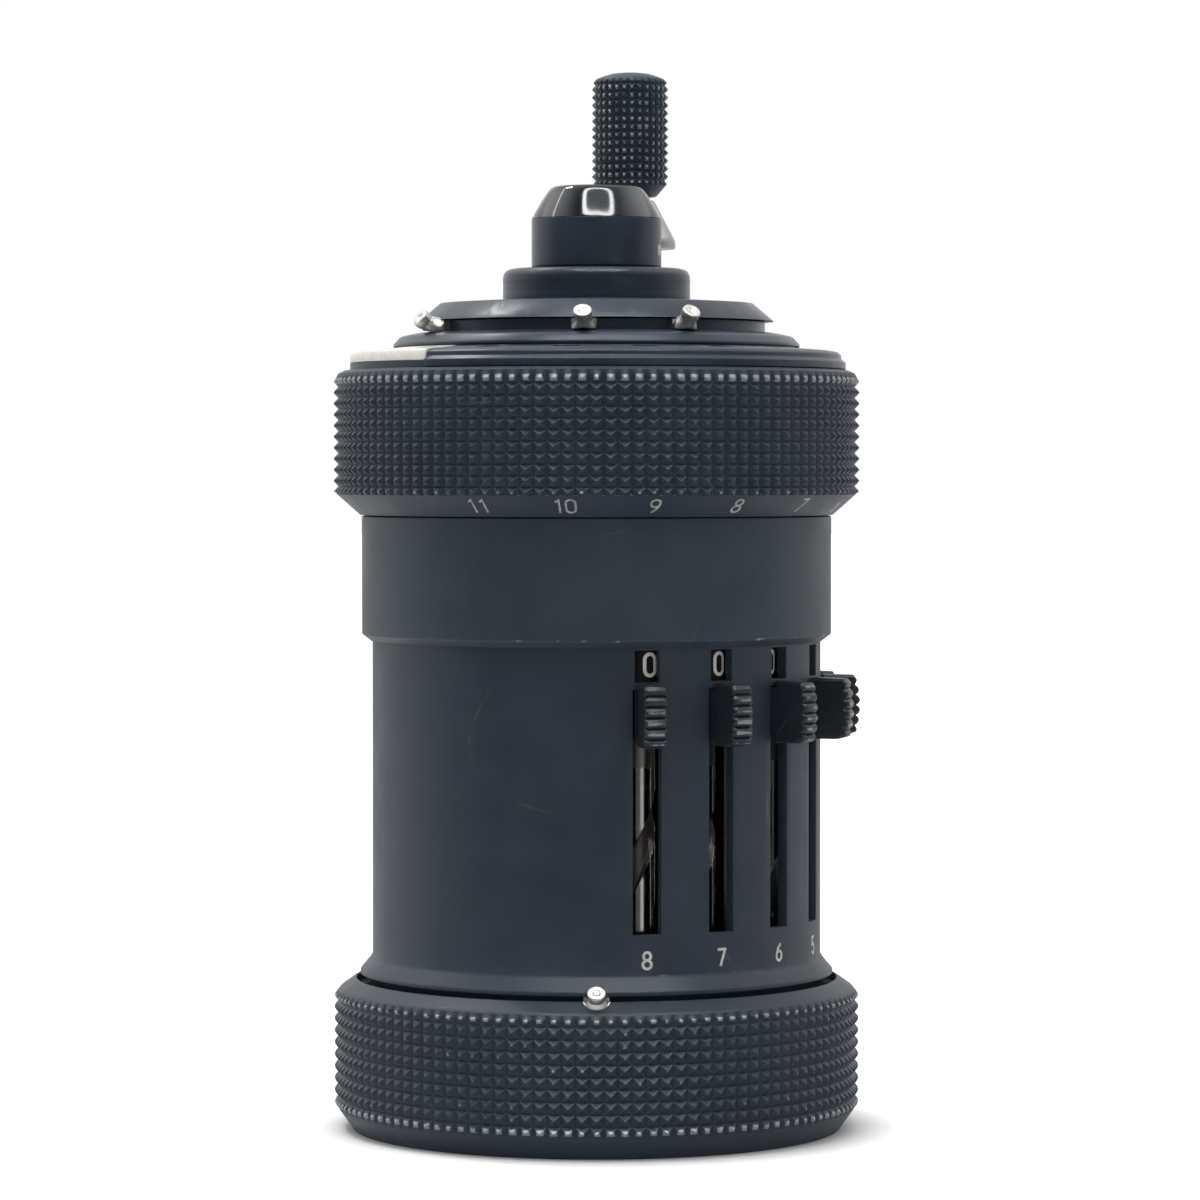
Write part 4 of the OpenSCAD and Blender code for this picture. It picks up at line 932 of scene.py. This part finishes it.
marks = ten_digits(lambda d: on_wall(11 - 36.0 * d, drum_r, 47.55))
for k, turn in enumerate(slider_turns, 1):
    body = f"setting_dial_{k}"
    at_slot = [placed(shape, turn, spindle_reach) for shape in (spindle, drum, marks)]
    piece = make_piece(f"grooved_spindle_{k}", *at_slot[0], body, "spindle_steel", groove_and_shade, sharp=28)
    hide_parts(body)
    make_piece(f"number_drum_{k}", *at_slot[1], body, "dial_black")
    make_piece(f"drum_numerals_{k}", *at_slot[2], body, "white_paint")

# %% Digits of the carriage dials
dial_r, dial_reach, dial_height = 2.9, 22.05, 73.9


def on_drum(turn, spin):
    """Lays a drawing on a drum whose axle points outwards; spin is round the axle."""
    def lay(x, y, lift):
        a = np.radians(spin) + x / dial_r
        r = dial_r + lift
        flat = np.stack([r * np.sin(a), y - dial_reach, dial_height + r * np.cos(a)], -1)
        return placed((flat, []), turn)[0]
    return lay


for family, turns in (("result", result_turns), ("counter", counter_turns)):
    for n, turn in enumerate(turns, 1):
        make_piece(f"{family}_numerals_{n}", *ten_digits(lambda d: on_drum(turn, 36.0 * d)),
                   f"{family}_dial_{n}", "white_paint")


# %% Place numbers on the sleeve and on the carriage's bevel
def place_numbers(turns, height, width, weight, *surface):
    """The numbers from 1 upwards, one at each turn, laid by on_wall(turn, *surface)."""
    return joined([part for n, turn in enumerate(turns, 1)
                   for part in number(str(n), height, width, weight, on_wall(turn, *surface))])


make_piece("sleeve_numbers", *place_numbers(slider_turns, 1.62, 0.86, 0.26, body_r, 18.95),
           "root", "white_paint", finish="number_white")
bevel_lean = (26.2 - 23.85) / 2.1
bevel = place_numbers(result_turns + 0.5, 1.85, 0.92, 0.22, 25.06, 62.96, bevel_lean)
make_piece("bevel_numbers", *bevel, "carriage", "white_paint", finish="number_grey")

# %% [markdown]
# ## Decimal markers
#
# Four small steel studs mark the decimal places. Each leans outwards from a shoe that slides in
# a groove, and has a waist between its foot and its round head.

# %% Studs
def stud(foot, lean):
    """A turned stud, 2.35 mm long, with a bell foot and a dimple in its flat head.

    Leaning by a from level, its axis is (0, -cos a, sin a)."""
    points, faces = turned(rounded([
        (0, -0.2), (foot, -0.2), (foot, 0.3, 0.15), (foot - 0.4, 1.15, 0.3), (0.82, 1.45, 0.1),
        (0.82, 1.56), (0.91, 1.6, 0.05), (0.91, 2.35, 0.2), (0.45, 2.35, 0.08), (0, 2.05)]),
        40, False)
    x, y, z = points.T
    a = np.radians(lean)
    return np.stack([x, np.sin(a) * y - np.cos(a) * z, np.cos(a) * y + np.sin(a) * z], -1), faces


def marker(name, node, turn, reach, base, seat, foot, lean, shoe):
    """The stud over its shoe. seat gives the lowest height at each distance from the main axis."""
    points, faces = placed(stud(foot, lean), 0.0, reach, base)
    points[:, 2] = np.maximum(points[:, 2], np.interp(np.hypot(points[:, 0], points[:, 1]), *seat))
    inner, outer, low, high, half = shoe
    block = shell(np.linspace(-half, half, 9), np.array([(outer, low), (outer, high)]),
                  np.array([(inner, low), (inner, high)]), np.ones((8, 1), bool), False)
    shape = placed(joined([(points, faces), block]), turn)
    piece = make_piece(name, *shape, node, "marker_steel")
    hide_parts(node)


track_top = 80.2
for n, (turn, lean) in enumerate([(-144.5, 32), (-86.5, 46), (-54.0, 46)], 1):
    marker(f"top_stud_{n}", f"top_marker_{n}", turn, 17.9, 80.3, ([17, 21], [track_top] * 2),
           1.25, lean, (17.05, 17.85, track_top, 81.2, 4))
marker("lower_stud", "bottom_marker", -82.5, 24.05, 14.5,
       ([24.2, 24.25, 24.5, 26.05], [14.35, 15.25, 15.24, 14.02]), 1.4, 48,
       (22.7, 23.9, 14.35, 15.55, 3))

# %% [markdown]
# ## Photographer's table
#
# The machine stands on a white table before a backdrop, which the camera sees as plain white.
# Light comes from all round. What polished parts mirror is another matter: the room in front of
# the machine is dark, apart from a window and a strip lamp, and those draw the lines on the cone.

# %% Directions round the camera's view
def heading(turn):
    """The level unit vector towards a turn round the machine."""
    return round_axis(turn, 1.0, 0.0)[0]


def along(place, way):
    """How far a place or a looking direction goes along a unit vector."""
    return beside("ShaderNodeVectorMath", {0: place, 1: tuple(float(v) for v in way)},
                  operation="DOT_PRODUCT").outputs["Value"]


def within(value, low, high, edge):
    """1 between low and high, with soft edges."""
    return times(steps_between(value, low - edge, low), steps_between(value, high + edge, high))


def blend(factor, a, b):
    return beside("ShaderNodeMix", {0: factor, 2: a, 3: b}).outputs[0]


# %% Table
corners = [(x, y, -0.00002) for x, y in ((-4, -4), (4, -4), (4, 4), (-4, 4))]
mesh = bpy.data.meshes.new("table_top")
mesh.from_pydata(corners, [], [(0, 1, 2, 3)])
table = bpy.data.objects.new("table_top", mesh)
bpy.context.scene.collection.objects.link(table)
tree, shader = start("table_white", Roughness=0.7, Emission_Color=(1, 1, 1, 1))
place = add(tree, "ShaderNodeTexCoord").outputs["Object"]
rays = add(tree, "ShaderNodeLightPath").outputs
front, side = (along(place, heading(turn)) for turn in (FRONT, FRONT + 90))
# Painted shade: for glossy rays the table in front of the machine is near black, apart from a beam
# to the side, standing for the dark room's shade on it.
beam = within(sums("DIVIDE", side, front), 0.38, 1.1, 0.1)
gloom = times(times(steps_between(front, 0.05, 0.12), one_minus(beam)), rays["Is Glossy Ray"])
# The table glows for the camera, but less close round the base: that darker ring is a painted
# contact shadow, added to the real shadow there.
reach = beside("ShaderNodeVectorMath", {0: place}, operation="LENGTH").outputs["Value"]
glow = plus(times(steps_between(reach, 0.0245, 0.032), 0.55),
            times(steps_between(reach, 0.05, 0.4), 0.25))
direct = sums("MAXIMUM", rays["Is Camera Ray"], rays["Is Transmission Ray"])
feed(shader, Base_Color=mixed(gloom, (0.85, 0.85, 0.85), (0.05, 0.05, 0.05)),
     Emission_Strength=times(direct, glow))
mesh.materials.append(paint["table_white"])
print("table:", len(tree.nodes), "nodes")

# %% Window and strip lamp
world = bpy.context.scene.world or bpy.data.worlds.new("room")
bpy.context.scene.world = world
world.use_nodes = True
tree = world.node_tree
tree.nodes.clear()
way = add(tree, "ShaderNodeTexCoord").outputs["Generated"]
front, side = (along(way, heading(turn)) for turn in (FRONT, FRONT + 90))
up = beside("ShaderNodeSeparateXYZ", {0: way}).outputs[2]


def opening(half_side, half_front):
    """1 inside |a|^3 + |b|^3 = 1, where a and b run across the window and up it."""
    a = sums("DIVIDE", sums("SUBTRACT", side, 0.035), half_side)
    b = sums("DIVIDE", sums("SUBTRACT", front, 0.34), half_front)
    cubes = [sums("POWER", sums("ABSOLUTE", v), 3.0) for v in (a, b)]
    return steps_between(plus(*cubes), 1.08, 0.92)


window, pane = opening(0.37, 0.26), opening(0.29, 0.18)
tube_across = np.array([-0.68, -0.376, -0.631]) @ [heading(FRONT), heading(FRONT + 90), [0, 0, 1]]
tube = times(within(along(way, tube_across), -0.012, 0.012, 0.006),
             within(front, -0.42, -0.08, 0.02))
lamps = plus(times(window, blend(pane, 18.0, 1.0)), times(tube, 8.0))

# %% Room, as the camera, polished parts and everything else see it
walls = steps_between(sums("ABSOLUTE", side), 0.42, 0.75)
lamps = times(plus(lamps, walls), steps_between(up, 0.4, 0.5))
dark = times(steps_between(front, -0.35, 0.35), 0.9)
right = times(steps_between(side, 0.2, 0.9), 0.18)
mirrored = plus(times(one_minus(dark), one_minus(right)), lamps)
rays = add(tree, "ShaderNodeLightPath").outputs
mirror = sums("MAXIMUM", rays["Is Glossy Ray"], rays["Is Transmission Ray"])
strength = blend(rays["Is Camera Ray"], blend(mirror, 0.75, mirrored), 1.0)
light = beside("ShaderNodeBackground", {"Color": (1, 1, 1, 1), "Strength": strength})
beside("ShaderNodeOutputWorld", {"Surface": light.outputs[0]})
print("room:", len(tree.nodes), "nodes")

# %% Softboxes
lamp_aim = 50.0    # height on the main axis that the lamps face


def softbox(name, turn, reach, height, width, tall, watts, mirrored=True):
    """An area lamp at a direction round the machine."""
    lamp = bpy.data.lights.new(name, "AREA")
    lamp.shape, lamp.size, lamp.size_y, lamp.energy = "RECTANGLE", width * MM, tall * MM, watts
    holder = bpy.data.objects.new(name, lamp)
    bpy.context.scene.collection.objects.link(holder)
    holder.visible_glossy = mirrored
    spot = round_axis(turn, reach, height)[0]
    holder.location = spot * MM
    holder.rotation_euler = Vector(spot - [0, 0, lamp_aim]).to_track_quat("Z", "Y").to_euler()
    print(name, "at", spot.round(1))


softbox("left_lamp", FRONT - 127.5, 249, 443, 25, 60, 0.4)
softbox("ceiling", FRONT - 100, 100, 480, 260, 260, 0.7, mirrored=False)

# %% Camera, at the photograph's place
eye_reach, eye_height = 490.0, 67.2
focal, picture = 4847, 1200    # in pixels of the photograph
aside, down = 3.5 / focal, (600 - 462) / focal
camera = bpy.data.cameras.new("camera")
camera.sensor_width, camera.lens = 36.0, 36.0 * focal / picture
camera.clip_start, camera.clip_end = 0.01, 50.0
view = bpy.data.objects.new("camera", camera)
bpy.context.scene.collection.objects.link(view)
bpy.context.scene.camera = view
eye = round_axis(FRONT, eye_reach, eye_height)[0]
ahead = heading(FRONT + 90) * aside - heading(FRONT) - [0, 0, down]
view.location = eye * MM
view.rotation_euler = Vector(-ahead).to_track_quat("Z", "Y").to_euler()
bpy.context.scene.view_settings.view_transform = "Standard"
print("camera at", eye.round(1), "looks along", ahead.round(4))
